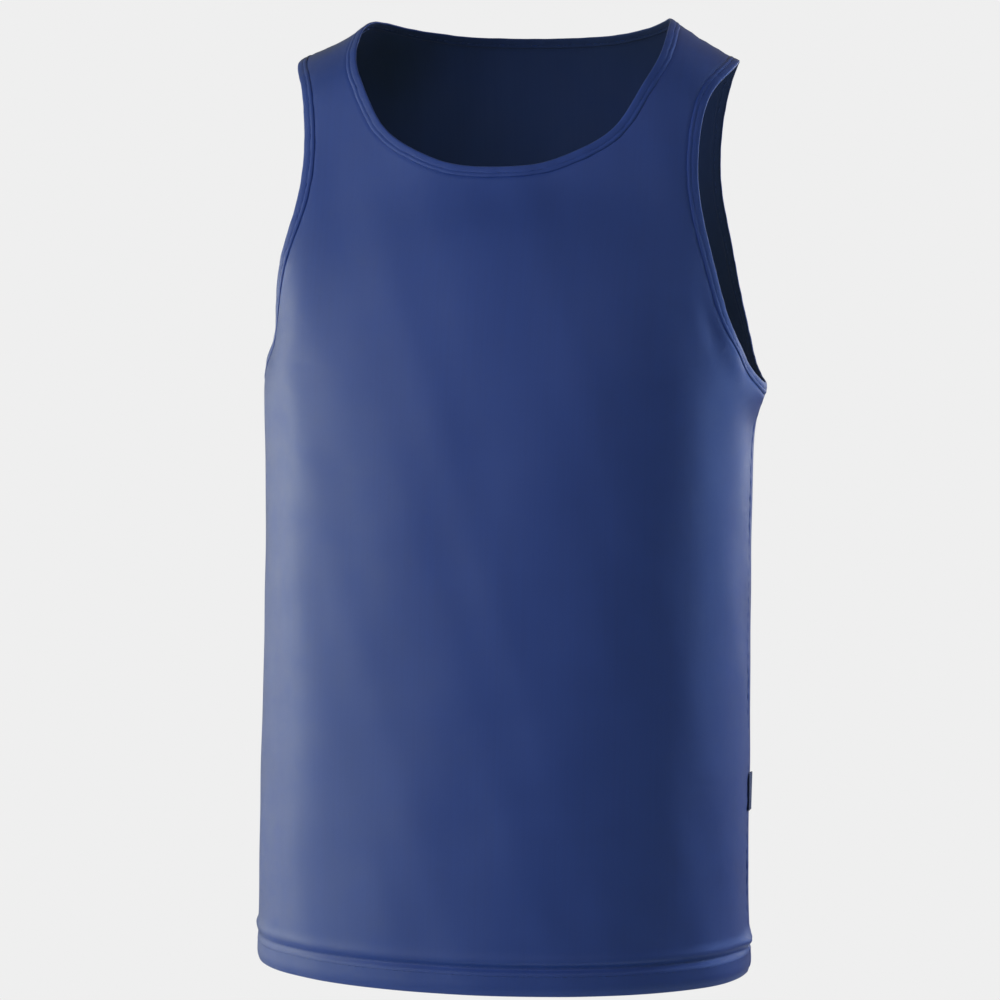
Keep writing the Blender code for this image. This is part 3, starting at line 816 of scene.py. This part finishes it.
def seam_relief(pattern):
    """Return how the cloth rolls in and puckers along the side and shoulder seams."""
    to_side = quarter_girth(pattern[:, 1]) - np.abs(pattern[:, 0])
    to_shoulder = np.abs(pattern[:, 1])
    lift = np.zeros(len(pattern))
    for distance, reach in ((to_side, pattern[:, 1]), (to_shoulder, pattern[:, 0])):
        ripple = np.sin(math.tau * reach / SEAM_PUCKER_LENGTH)
        ripple += 0.6 * np.sin(math.tau * reach / (1.7 * SEAM_PUCKER_LENGTH) + 1.1)
        lift -= SEAM_DIP * bump(distance, SEAM_DIP_WIDTH)
        lift += SEAM_PUCKER * (1 + ripple) * bump(distance, SEAM_PUCKER_REACH)
    return lift


def hem_relief(pattern):
    """Return how the hem's two stitched rows pull the cloth in, and how it swells beside
    them."""
    height = BODY_ALONG - np.abs(pattern[:, 1])
    lift = -HEM_ROLL * bump(height, HEM_ROLL_HEIGHT)
    pull = 1 - HEM_EASE * bump(pattern[:, 0] + quarter_girth(pattern[:, 1]), HEM_EASE_REACH)
    for swell in HEM_SWELLS:
        lift += pull * swell.rise * bump(height - swell.height, swell.width)
    return lift


def edge_relief(pattern, binding_width):
    """Return how the cloth dips where the bindings' stitched edges pull it in."""
    blocks = np.array_split(body_points(pattern), len(pattern) // EDGE_BLOCK + 1)
    lift = np.zeros(len(pattern))
    for opening in opening_rings().values():
        line = body_points(stations(opening, EDGE_POINTS).line)
        nearest = [((block[:, None] - line) ** 2).sum(axis=2).min(axis=1) for block in blocks]
        beyond = np.sqrt(np.concatenate(nearest)) - binding_width
        lift -= EDGE_DIP * bump(beyond, EDGE_DIP_WIDTH)
    return lift


def sew_panel(panel, cloth, sewing, material, shaded_inner_face):
    """Make a panel, wrapped on the form with its hem turned up."""
    bm = cut_panel(panel)
    area = sum(face.calc_area() for face in bm.faces)
    pattern = np.array([vert.co.xy for vert in bm.verts])
    flat = tuple(np.ptp(pattern, axis=0).tolist())
    pattern, raised = turn_hem(pattern)
    raised += hem_relief(pattern) + seam_relief(pattern)
    raised += edge_relief(pattern, sewing.binding_width)
    points, _ = cloth_points(pattern, raised, cloth.slack)
    for vert, point in zip(bm.verts, points):
        vert.co = point

    obj = finish_piece(bm, panel.name, material, [panel.node])
    thicken(obj, cloth.thickness, shaded_inner_face)
    return obj, flat, area


# ---------------------------------------------------------------- making pieces


def new_object(bm, name, material):
    """Return a new object of a bmesh, which this uses up."""
    mesh = bpy.data.meshes.new(name)
    bm.to_mesh(mesh)
    bm.free()
    mesh.materials.append(material)
    obj = bpy.data.objects.new(name, mesh)
    bpy.context.scene.collection.objects.link(obj)
    return obj


def finish_piece(bm, name, material, nodes=()):
    """Make a piece of the singlet from a bmesh."""
    obj = new_object(bm, name, material)
    obj.data.shade_smooth()
    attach(obj, BODY)
    if nodes:
        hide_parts(*nodes)
    return obj


def thicken(obj, thickness, shaded_inner_face=None):
    """Give a piece its cloth's thickness. The material given last, if any, goes on its wrong
    side, which is darker partly as painted shade.
    """
    wall = obj.modifiers.new("thickness", "SOLIDIFY")
    wall.thickness = thickness
    wall.offset = -1
    if shaded_inner_face:
        obj.data.materials.append(shaded_inner_face)
        wall.material_offset = 1


def strip(points, section, along, faces_out=True):
    """Return a bmesh of a grid of points, with a UV map of the metres round its section and
    along it. It is closed into a ring if its last row is its first."""
    measure = np.stack(np.meshgrid(section, along, indexing="ij"), axis=2)
    bm, places = laid_grid(len(section) - 1, len(along) - 1)
    cloth = bm.loops.layers.uv.new("cloth")
    for vert, place in places.items():
        vert.co = points[place]
        for loop in vert.link_loops:
            loop[cloth].uv = measure[place]
    bmesh.ops.remove_doubles(bm, verts=bm.verts[:], dist=MERGE_DISTANCE)
    if not faces_out:
        bmesh.ops.reverse_faces(bm, faces=bm.faces[:])
    return bm


def binding_section(width):
    """Return the section of a folded binding, from its outer stitched edge over the fold to
    its inner edge, as distances in from the fold and heights off the cloth."""
    nose = (BINDING_TOP - BINDING_INSIDE) / 2
    outer, outer_raised = width + BINDING_EDGE[:, 0], BINDING_EDGE[:, 1]
    middle = np.arange(width - BINDING_EDGE_ROLL, nose + 0.0001, -BINDING_OUTER_STEP)
    turn = np.linspace(math.pi / 2, -math.pi / 2, 9)
    fold = nose * (1 - np.cos(turn))
    fold_raised = (BINDING_TOP + BINDING_INSIDE) / 2 + nose * np.sin(turn)
    inner = np.arange(nose + 0.0005, width + 0.0006, BINDING_INNER_STEP)
    reach = np.concatenate([outer, middle, fold, inner])
    top, inside = np.full(len(middle), BINDING_TOP), np.full(len(inner), BINDING_INSIDE)
    raised = np.concatenate([outer_raised, top, fold_raised, inside])
    face = np.concatenate([np.ones(len(outer) + len(middle)), np.sin(turn), -np.ones(len(inner))])
    groove = bump(reach - BINDING_STITCHING, BINDING_GROOVE_WIDTH)
    roll = np.sin(np.clip(reach / BINDING_STITCHING, 0, 1) * math.pi)
    ledge = np.clip((width - reach) / (width - BINDING_STITCHING), 0, 1)
    roll += BINDING_LEDGE_CROWN * np.sin(ledge * math.pi)
    raised += face * (BINDING_CROWN * roll - BINDING_GROOVE_DEPTH * groove)
    return reach, raised


def sew_binding(name, opening, cloth, width, material, shaded_inner_face, node):
    """Make the folded strip of an opening, as a closed ring. The half that lies inside takes the
    second material, the darker wrong-side one, as painted shade there."""
    length = arc_lengths(body_points(opening.line))[-1]
    opening = stations(opening, round(length / BINDING_STEP))
    reach, raised = binding_section(width)
    count = len(opening.line)
    around = np.arange(count) / (count - 1)
    waver = sum(height * np.sin(math.tau * waves * around) for waves, height in BINDING_WAVERS)
    share = np.clip(reach / width, 0, 1)
    lengthwise = np.broadcast_to(raised[:, None], (len(reach), count))
    pattern = opening.line + opening.step * (reach[:, None] + share[:, None] * waver)[..., None]
    points, _ = cloth_points(pattern, lengthwise + waver, cloth.slack)
    points[:, -1] = points[:, 0]
    along = arc_lengths(points[len(reach) // 2])
    section = arc_lengths(points[:, 0])
    bm = strip(points, section, along)
    # Painted shade: the faces past the fold, on the binding's turned-in half, take the darker
    # wrong-side material
    turned_in = section[int(np.argmin(reach))]
    uv = bm.loops.layers.uv["cloth"]
    for face in bm.faces:
        face.material_index = int(min(loop[uv].uv.x for loop in face.loops) > turned_in)
    obj = finish_piece(bm, name, material, [node])
    obj.data.materials.append(shaded_inner_face)
    thicken(obj, BINDING_THICKNESS)


def row_of_stitches(points, outward, sewing):
    """Return the place, as a matrix, of each stitch of a row along a line of points."""
    reach = arc_lengths(points)
    count = round(reach[-1] / sewing.stitch_pitch)
    places = (np.arange(count) + 0.5) * reach[-1] / count
    middles = sample(points, reach, places)
    forward = unit(sample(points, reach, places + sewing.stitch_length / 4) - middles)
    up = unit(sample(outward, reach, places))
    sideways = unit(np.cross(up, forward))
    size = (sewing.stitch_length, STITCH_THICKNESS * STITCH_WIDTH, STITCH_THICKNESS)
    turns = np.stack([forward, sideways, np.cross(forward, sideways)], axis=2) * size
    return [
        Matrix.Translation(middle) @ Matrix(turn.tolist()).to_4x4()
        for middle, turn in zip(middles, turns)
    ]


def sew_stitches(name, places, material):
    """Make a piece of one stitch at each place."""
    bm = bmesh.new()
    bmesh.ops.create_uvsphere(bm, u_segments=6, v_segments=4, radius=0.5)
    size = len(bm.verts)
    while len(bm.verts) < size * len(places):
        bmesh.ops.duplicate(bm, geom=bm.verts[:] + bm.edges[:] + bm.faces[:])
    bmesh.ops.delete(bm, geom=bm.verts[size * len(places) :], context="VERTS")
    for i, vert in enumerate(bm.verts):
        vert.co = places[i // size] @ vert.co
    finish_piece(bm, name, material)


def binding_stitching(name, opening, cloth, sewing, material):
    """Make the topstitching of a binding, on its outer and its inner face."""
    opening = stations(opening, STITCH_LINE_POINTS)
    pattern = opening.line + opening.step * BINDING_STITCHING
    outer = BINDING_TOP - BINDING_GROOVE_DEPTH + STITCH_LIFT
    inner = BINDING_INSIDE + BINDING_GROOVE_DEPTH - STITCH_LIFT
    places = []
    for raised in (outer, inner):
        points, outward = cloth_points(pattern, raised, cloth.slack)
        places += row_of_stitches(points, outward, sewing)
    sew_stitches(name, places, material)


def hem_stitching(cloth, sewing, material):
    """Make the two rows of stitching round the hem."""
    places = []
    for panel in PANELS:
        for height in HEM_STITCHING:
            along = panel.side * (BODY_ALONG - height)
            girth = quarter_girth(along)[0] - HEM_STITCHING_END
            across = np.linspace(-girth, girth, STITCH_LINE_POINTS)
            pattern = np.stack([across, np.full(STITCH_LINE_POINTS, along)], axis=1)
            raised = hem_relief(pattern) + STITCH_LIFT
            points, outward = cloth_points(pattern, raised, cloth.slack)
            places += row_of_stitches(points, outward, sewing)
    sew_stitches("hem_stitching", places, material)


def serged_seam(name, pattern, inward, cloth, material):
    """Make the oversewn edge inside a seam: a flat roll along a line of pattern points that
    lies towards `inward`, a pattern step of one metre."""
    turn = np.linspace(0, math.tau, SERGED_SPANS + 1)
    wide = SERGED_WIDTH / 2 * (1 - np.cos(turn))
    deep = -cloth.thickness - SERGED_THICKNESS / 2 * (1 + np.sin(turn) * SERGED_FULLNESS)
    grid = pattern[None] + np.array(inward) * wide[:, None, None]
    reach = arc_lengths(body_points(pattern))
    ridge = SERGED_RIDGE * np.sin(math.tau * reach / SERGED_PITCH)
    swell = np.abs(np.sin(turn))[:, None] * ridge[None]
    raised = deep[:, None] + np.where(np.sin(turn) < 0, 1, -1)[:, None] * swell
    points, _ = cloth_points(grid, raised, cloth.slack)
    section = np.linspace(0, 2 * SERGED_WIDTH, len(turn))
    bm = strip(points, section, reach)
    ends = [edge for edge in bm.edges if edge.is_boundary]
    bmesh.ops.holes_fill(bm, edges=ends, sides=0)
    bmesh.ops.recalc_face_normals(bm, faces=bm.faces[:])
    finish_piece(bm, name, material)


def sew_tab(cloth, material):
    """Make the blank folded tab in the wearer's-left side seam."""
    along = -np.linspace(TAB_TOP, TAB_TOP + TAB_LENGTH, TAB_ROWS + 1)
    turn = np.linspace(math.pi / 2, -math.pi / 2, 7)
    out = np.linspace(0, TAB_WIDTH - TAB_FOLD, TAB_COLUMNS + 1)[:-1]
    wide = np.concatenate([out, TAB_WIDTH - TAB_FOLD * (1 - np.cos(turn)), out[::-1]])
    side = np.ones(TAB_COLUMNS)
    high = np.concatenate([side, np.sin(turn), -side]) * TAB_FOLD
    lean = TAB_LEAN * (wide / TAB_WIDTH) ** 2
    base = SEAM_GAP + TAB_FOLD + TAB_CLEARANCE
    across = quarter_girth(along)[None] - SEAM_GAP / 2 - wide[:, None]
    pattern = np.stack(np.broadcast_arrays(across, along), axis=2)
    raised = (base + high + lean)[:, None] + np.zeros(len(along))
    points, _ = cloth_points(pattern, raised, cloth.slack)
    bm = strip(points, arc_lengths(points[:, 0]), np.abs(along), faces_out=False)
    obj = finish_piece(bm, "seam_tab", material, ["side_tab"])
    thicken(obj, TAB_THICKNESS)


# ---------------------------------------------------------------- materials


def add_node(tree, kind, **settings):
    node = tree.nodes.new(kind)
    for name, value in settings.items():
        setattr(node, name, value)
    return node


def feed(tree, socket, value):
    """Link a socket to another, or set it to a plain value."""
    if isinstance(value, bpy.types.NodeSocket):
        tree.links.new(value, socket)
    else:
        socket.default_value = value


def sums(tree, operation, *values):
    """Add a Math node and return its result."""
    node = add_node(tree, "ShaderNodeMath", operation=operation)
    for socket, value in zip(node.inputs, values):
        feed(tree, socket, value)
    return node.outputs[0]


def noise(tree, vector, scale, detail):
    """Return smooth noise from 0 to 1, about 0.5."""
    node = add_node(tree, "ShaderNodeTexNoise")
    feed(tree, node.inputs["Vector"], vector)
    feed(tree, node.inputs["Scale"], scale)
    feed(tree, node.inputs["Detail"], detail)
    return node.outputs["Fac"]


def cloth_place(tree):
    """Return the place on the cloth, in metres across and along its surface."""
    return add_node(tree, "ShaderNodeUVMap", uv_map="cloth").outputs["UV"]


def parts_of(tree, vector):
    """Return the X, Y and Z of a vector."""
    node = add_node(tree, "ShaderNodeSeparateXYZ")
    tree.links.new(vector, node.inputs[0])
    return node.outputs


def wave(tree, distance, pitch):
    """Return a wave from -1 to 1 that repeats each pitch."""
    return sums(tree, "SINE", sums(tree, "MULTIPLY", distance, math.tau / pitch))


def times_plus(tree, value, factor, added):
    """Return a value times a factor, plus another value."""
    return sums(tree, "MULTIPLY_ADD", value, factor, added)


def new_group(name, values, results):
    """Start a shader node group that takes a place on the cloth and some values. Returns it,
    its input sockets and a function that sets one of its results."""
    tree = bpy.data.node_groups.new(name, "ShaderNodeTree")
    tree.interface.new_socket("Cloth", in_out="INPUT", socket_type="NodeSocketVector")
    for label, default in values.items():
        socket = tree.interface.new_socket(label, in_out="INPUT", socket_type="NodeSocketFloat")
        socket.default_value = default
    for label in results:
        tree.interface.new_socket(label, in_out="OUTPUT", socket_type="NodeSocketFloat")
    taken = tree.nodes.new("NodeGroupInput")
    given = tree.nodes.new("NodeGroupOutput")

    def put(label, value):
        tree.links.new(value, given.inputs[label])

    return tree, taken.outputs, put


def knit_group():
    """Columns of V-shaped loops. Height is the loops' relief, from 0 to 1, and Hollow is what is
    left of 1, used to paint shade into the hollows between the loops.
    """
    values = {"Wale": 0.0006, "Course": 0.0005}
    tree, given, put = new_group("Knit loops", values, ("Height", "Hollow"))
    parts = parts_of(tree, given["Cloth"])
    wale = sums(tree, "DIVIDE", parts["X"], given["Wale"])
    course = sums(tree, "DIVIDE", parts["Y"], given["Course"])
    from_middle = sums(tree, "ABSOLUTE", sums(tree, "SUBTRACT", sums(tree, "FRACT", wale), 0.5))
    leg = sums(tree, "SINE", sums(tree, "MULTIPLY", from_middle, math.tau))
    slanted = sums(tree, "ADD", course, sums(tree, "MULTIPLY", from_middle, 1.6))
    row = sums(tree, "COSINE", sums(tree, "MULTIPLY", slanted, math.tau))
    height = sums(tree, "MULTIPLY", leg, times_plus(tree, row, 0.28, 0.72))
    put("Height", height)
    put("Hollow", sums(tree, "SUBTRACT", 1.0, height))
    return tree


def yarn_group():
    """Unevenness of dyed yarn: soft mottling, faint streaks down the wales and fine grain.
    Tone is a factor near 1 and Roughness a value near its input."""
    values = {"Amount": 0.06, "Streaks": 0.16, "Roughness": 0.5}
    tree, given, put = new_group("Yarn unevenness", values, ("Tone", "Roughness"))
    drawn_out = add_node(tree, "ShaderNodeVectorMath", operation="MULTIPLY")
    tree.links.new(given["Cloth"], drawn_out.inputs[0])
    drawn_out.inputs[1].default_value = STREAK_SCALES
    mottle = sums(tree, "SUBTRACT", noise(tree, given["Cloth"], MOTTLE_SCALE, 3.0), 0.5)
    grain = sums(tree, "SUBTRACT", noise(tree, given["Cloth"], GRAIN_SCALE, 1.0), 0.5)
    lines = sums(tree, "SUBTRACT", noise(tree, drawn_out.outputs[0], 1.0, 3.0), 0.5)
    mixed = sums(tree, "ADD", sums(tree, "MULTIPLY", mottle, 1.2), grain)
    streaks = sums(tree, "MULTIPLY", lines, given["Streaks"])
    put("Tone", sums(tree, "ADD", times_plus(tree, mixed, given["Amount"], 1.0), streaks))
    put("Roughness", times_plus(tree, mottle, 0.25, given["Roughness"]))
    return tree


GROUP_MAKERS = {"Knit loops": knit_group, "Yarn unevenness": yarn_group}


def place_group(tree, name, **inputs):
    """Place a shader node group, made the first time it is asked for."""
    group = bpy.data.node_groups.get(name) or GROUP_MAKERS[name]()
    node = add_node(tree, "ShaderNodeGroup", node_tree=group)
    for label, value in inputs.items():
        feed(tree, node.inputs[label], value)
    return node.outputs


def toned(tree, colour, tone):
    """Return a colour multiplied by a tone."""
    node = add_node(tree, "ShaderNodeVectorMath", operation="SCALE")
    node.inputs[0].default_value = tuple(colour)[:3]
    feed(tree, node.inputs["Scale"], tone)
    return node.outputs[0]


def start_material(name, sheen, specular):
    """Return a new cloth material and its tree."""
    material = bpy.data.materials.new(name)
    material.use_nodes = True
    shader = material.node_tree.nodes["Principled BSDF"]
    shader.inputs["Metallic"].default_value = 0
    shader.inputs["Sheen Weight"].default_value = sheen
    shader.inputs["Sheen Roughness"].default_value = SHEEN_ROUGHNESS
    shader.inputs["Specular IOR Level"].default_value = specular
    return material, material.node_tree


def finish_material(material, colour, tone, roughness, height, relief):
    """Give a material its colour, roughness and relief, and return it."""
    tree = material.node_tree
    shader = tree.nodes["Principled BSDF"]
    tree.links.new(toned(tree, colour, tone), shader.inputs["Base Color"])
    feed(tree, shader.inputs["Roughness"], roughness)
    bump_node = add_node(tree, "ShaderNodeBump")
    tree.links.new(height, bump_node.inputs["Height"])
    bump_node.inputs["Distance"].default_value = relief
    bump_node.inputs["Strength"].default_value = 1
    tree.links.new(bump_node.outputs["Normal"], shader.inputs["Normal"])
    return material


def knit_material(name, colour, cloth, look):
    """The knit's right or wrong side."""
    material, tree = start_material(name, 0.05, look.specular)
    place = cloth_place(tree)
    knit = place_group(tree, "Knit loops", Cloth=place, Wale=cloth.wale, Course=cloth.course)
    yarn = place_group(
        tree, "Yarn unevenness", Cloth=place, Amount=look.unevenness, Roughness=look.roughness
    )
    # Painted shade and highlight: the tone is a little lighter on the loops and darker in the
    # hollows between them
    tone = sums(tree, "MULTIPLY", yarn["Tone"], times_plus(tree, knit["Hollow"], -0.10, 1.03))
    return finish_material(material, colour, tone, yarn["Roughness"], knit["Height"], 0.00005)


def thread_material(name, colour):
    """Twisted sewing thread with a soft shine."""
    material, tree = start_material(name, 0.05, 0.3)
    place = add_node(tree, "ShaderNodeTexCoord").outputs["Object"]
    grain = noise(tree, place, 3500.0, 1.0)
    tone = times_plus(tree, grain, 0.5, 0.75)
    roughness = times_plus(tree, grain, 0.2, 0.4)
    return finish_material(material, colour, tone, roughness, grain, 0.00006)


def serged_material(name, colour):
    """Overlock threads laid side by side across the seam's raw edge."""
    material, tree = start_material(name, 0.25, 0.4)
    place = cloth_place(tree)
    parts = parts_of(tree, place)
    threads = wave(tree, times_plus(tree, parts["X"], 0.35, parts["Y"]), THREAD_PITCH)
    grain = noise(tree, place, 1800.0, 1.0)
    # Painted shade: the tone follows the threads' relief, lighter on each thread and darker in
    # the gaps between them
    tone = times_plus(tree, threads, 0.16, 0.95)
    tone = sums(tree, "MULTIPLY", tone, times_plus(tree, grain, 0.3, 0.85))
    return finish_material(material, colour, tone, 0.6, threads, 0.00010)


def tape_material(name, colour):
    """Woven tape with fine ribs."""
    material, tree = start_material(name, 0.1, 0.4)
    place = cloth_place(tree)
    parts = parts_of(tree, place)
    warp, weft = wave(tree, parts["X"], WARP_PITCH), wave(tree, parts["Y"], WEFT_PITCH)
    weave = sums(tree, "MULTIPLY", warp, weft)
    grain = noise(tree, place, 900.0, 2.0)
    # Painted shade: the tone follows the weave's relief, lighter where it is raised and darker
    # where it is low
    tone = times_plus(tree, weave, 0.12, 0.95)
    tone = sums(tree, "MULTIPLY", tone, times_plus(tree, grain, 0.3, 0.85))
    roughness = times_plus(tree, grain, 0.2, 0.45)
    return finish_material(material, colour, tone, roughness, weave, 0.00007)


def made_material(name, maker, *values):
    """Return a material, made the first time it is asked for."""
    return bpy.data.materials.get(name) or maker(name, *values)


def wrong_side_and_shade(cloth):
    """Return the material of the knit's wrong side, darker partly because that side is duller and
    partly as painted shade inside the singlet.
    """
    return made_material("jersey wrong side", knit_material, cloth.wrong_side_and_shade, cloth, WRONG_SIDE)


# ---------------------------------------------------------------- operators


class SINGLET_OT_bindings(bpy.types.Operator):
    """Fold and sew the strips that bind the neck and the armholes"""

    bl_idname = "singlet.bindings"
    bl_label = "Bindings"

    def execute(self, context):
        cloth, sewing = context.scene.singlet_cloth, context.scene.singlet_sewing
        colour, width = sewing.binding_colour, sewing.binding_width
        material = made_material("binding knit", knit_material, colour, cloth, BINDING)
        shaded_inner_face = wrong_side_and_shade(cloth)
        for name, opening in opening_rings().items():
            place, joint, arm = name.partition("_")
            node = f"{place}_binding{joint}{arm}"
            piece = f"{place}_band{joint}{arm}"
            sew_binding(piece, opening, cloth, width, material, shaded_inner_face, node)
        return {"FINISHED"}


class SINGLET_OT_stitching(bpy.types.Operator):
    """Sew the bindings' and the hem's visible stitching"""

    bl_idname = "singlet.stitching"
    bl_label = "Stitching"

    def execute(self, context):
        cloth, sewing = context.scene.singlet_cloth, context.scene.singlet_sewing
        thread = made_material("sewing thread", thread_material, sewing.thread_colour)
        for name, opening in opening_rings().items():
            binding_stitching(name + "_stitching", opening, cloth, sewing, thread)
        hem_stitching(cloth, sewing, thread)
        return {"FINISHED"}


class SINGLET_OT_inside_seams(bpy.types.Operator):
    """Oversew the edges inside the side and shoulder seams"""

    bl_idname = "singlet.inside_seams"
    bl_label = "Inside seams"

    def execute(self, context):
        cloth, sewing = context.scene.singlet_cloth, context.scene.singlet_sewing
        material = made_material("overlocked edge", serged_material, sewing.thread_colour)
        ends = UNDERARM_ALONG + SERGED_END, BODY_ALONG - SERGED_HEM_END
        down = -np.linspace(*ends, SERGED_SIDE_POINTS)
        side = np.stack([quarter_girth(down) + SERGED_LAP, down], axis=1)
        neck, arm = (np.interp(0, -line[:, 1], line[:, 0]) for line in (NECK.line, ARMHOLE.line))
        reach = np.linspace(neck + SERGED_END, arm - SERGED_END, SERGED_SHOULDER_POINTS)
        shoulder = np.stack([reach, np.full(len(reach), SERGED_LAP)], axis=1)
        for hand, sign in (("left", 1), ("right", -1)):
            mirror = (sign, 1)
            serged_seam(f"side_seam_{hand}", side * mirror, (-sign, 0), cloth, material)
            serged_seam(f"shoulder_seam_{hand}", shoulder * mirror, (0, -1), cloth, material)
        return {"FINISHED"}


class SINGLET_OT_tab(bpy.types.Operator):
    """Sew the blank tab into the side seam"""

    bl_idname = "singlet.tab"
    bl_label = "Seam tab"

    def execute(self, context):
        cloth, sewing = context.scene.singlet_cloth, context.scene.singlet_sewing
        tape = made_material("woven tape", tape_material, sewing.tab_colour)
        sew_tab(cloth, tape)
        return {"FINISHED"}


class SINGLET_OT_panels(bpy.types.Operator):
    """Cut the front and the back and turn up their hems"""

    bl_idname = "singlet.panels"
    bl_label = "Front and back"

    def execute(self, context):
        cloth, sewing = context.scene.singlet_cloth, context.scene.singlet_sewing
        material = made_material("jersey knit", knit_material, cloth.colour, cloth, JERSEY)
        shaded_inner_face = wrong_side_and_shade(cloth)
        for panel in PANELS:
            obj, flat, area = sew_panel(panel, cloth, sewing, material, shaded_inner_face)
        return {"FINISHED"}


def fading_floor(name, colour):
    """A plain pale floor that thins away towards its rim."""
    material = bpy.data.materials.new(name)
    material.use_nodes = True
    tree = material.node_tree
    shader = tree.nodes["Principled BSDF"]
    place = add_node(tree, "ShaderNodeTexCoord").outputs["Object"]
    grain = noise(tree, place, 14.0, 3.0)
    tone = times_plus(tree, grain, 0.04, 0.98)
    tree.links.new(toned(tree, (colour,) * 3, tone), shader.inputs["Base Color"])
    shader.inputs["Roughness"].default_value = 0.8
    parts = parts_of(tree, place)
    squares = [sums(tree, "MULTIPLY", parts[axis], parts[axis]) for axis in "XY"]
    radius = sums(tree, "SQRT", sums(tree, "ADD", *squares))
    fade = add_node(tree, "ShaderNodeMapRange", interpolation_type="SMOOTHSTEP")
    feed(tree, fade.inputs["Value"], radius)
    ends = {"From Min": FLOOR_FADE, "From Max": FLOOR_FADE_END, "To Min": 1, "To Max": 0}
    for label, value in ends.items():
        fade.inputs[label].default_value = value
    tree.links.new(fade.outputs["Result"], shader.inputs["Alpha"])
    return material


class SINGLET_OT_studio(bpy.types.Operator):
    """Set up the floor, the backdrop, the lamps and the camera"""

    bl_idname = "singlet.studio"
    bl_label = "Studio"

    def execute(self, context):
        scene, studio = context.scene, context.scene.singlet_studio
        scene.view_settings.view_transform = "Standard"

        bm = bmesh.new()
        bmesh.ops.create_circle(bm, segments=96, radius=FLOOR_RADIUS, cap_ends=True)
        bmesh.ops.translate(bm, verts=bm.verts[:], vec=(0, 0, FLOOR_Z))
        floor = new_object(bm, "floor", made_material("studio floor", fading_floor, 0.8))

        world = bpy.data.worlds.new("studio")
        world.use_nodes = True
        scene.world = world
        tree = world.node_tree
        light = tree.nodes["Background"]
        light.inputs["Color"].default_value = AMBIENT_TINT
        light.inputs["Strength"].default_value = studio.ambient
        backdrop = add_node(tree, "ShaderNodeBackground")
        backdrop.inputs["Color"].default_value = (1, 1, 1, 1)
        backdrop.inputs["Strength"].default_value = studio.backdrop
        seen = add_node(tree, "ShaderNodeLightPath").outputs["Is Camera Ray"]
        mix = add_node(tree, "ShaderNodeMixShader")
        tree.links.new(seen, mix.inputs[0])
        tree.links.new(light.outputs[0], mix.inputs[1])
        tree.links.new(backdrop.outputs[0], mix.inputs[2])
        tree.links.new(mix.outputs[0], tree.nodes["World Output"].inputs["Surface"])

        for lamp in LAMPS:
            data = bpy.data.lights.new(lamp.name, "AREA")
            data.shape = "RECTANGLE"
            data.size, data.size_y = lamp.width, lamp.height
            data.energy = lamp.power * studio.lamps
            data.color = lamp.tint
            obj = bpy.data.objects.new(lamp.name, data)
            obj.location = lamp.place
            aim = Vector(lamp.target) - Vector(lamp.place)
            obj.rotation_euler = aim.to_track_quat("-Z", "Y").to_euler()
            scene.collection.objects.link(obj)

        data = bpy.data.cameras.new("camera")
        data.lens = studio.lens
        camera = bpy.data.objects.new("camera", data)
        heading = Matrix.Rotation(CAMERA_HEADING, 4, "Z")
        tilt = Matrix.Rotation(math.pi / 2 - CAMERA_TILT, 4, "X")
        roll = Matrix.Rotation(CAMERA_ROLL, 4, "Z")
        camera.matrix_world = Matrix.Translation(CAMERA_PLACE) @ heading @ tilt @ roll
        scene.collection.objects.link(camera)
        scene.camera = camera
        return {"FINISHED"}


class SINGLET_PT_panel(bpy.types.Panel):
    """Lists the singlet's settings and the steps that make it"""

    bl_idname = "SINGLET_PT_panel"
    bl_label = "Running Singlet"
    bl_space_type = "VIEW_3D"
    bl_region_type = "UI"
    bl_category = "Singlet"

    def draw(self, context):
        for name, _ in GROUPS:
            box = self.layout.box()
            settings = getattr(context.scene, name)
            for label in settings.bl_rna.properties.keys():
                if label not in ("rna_type", "name"):
                    box.prop(settings, label)
        for step in STEPS:
            self.layout.operator(step.bl_idname)


GROUPS = (
    ("singlet_cloth", SINGLET_PG_cloth),
    ("singlet_sewing", SINGLET_PG_sewing),
    ("singlet_studio", SINGLET_PG_studio),
)
STEPS = (
    SINGLET_OT_bindings,
    SINGLET_OT_stitching,
    SINGLET_OT_inside_seams,
    SINGLET_OT_tab,
    SINGLET_OT_panels,
    SINGLET_OT_studio,
)


def register():
    for name, group in GROUPS:
        bpy.utils.register_class(group)
        setattr(bpy.types.Scene, name, bpy.props.PointerProperty(type=group))
    for step in STEPS:
        bpy.utils.register_class(step)
    bpy.utils.register_class(SINGLET_PT_panel)


def unregister():
    bpy.utils.unregister_class(SINGLET_PT_panel)
    for step in reversed(STEPS):
        bpy.utils.unregister_class(step)
    for name, group in reversed(GROUPS):
        delattr(bpy.types.Scene, name)
        bpy.utils.unregister_class(group)


def main():
    register()
    bpy.ops.singlet.bindings()
    bpy.ops.singlet.stitching()
    bpy.ops.singlet.inside_seams()
    bpy.ops.singlet.tab()
    bpy.ops.singlet.panels()
    bpy.ops.singlet.studio()


if __name__ == "__main__":
    main()
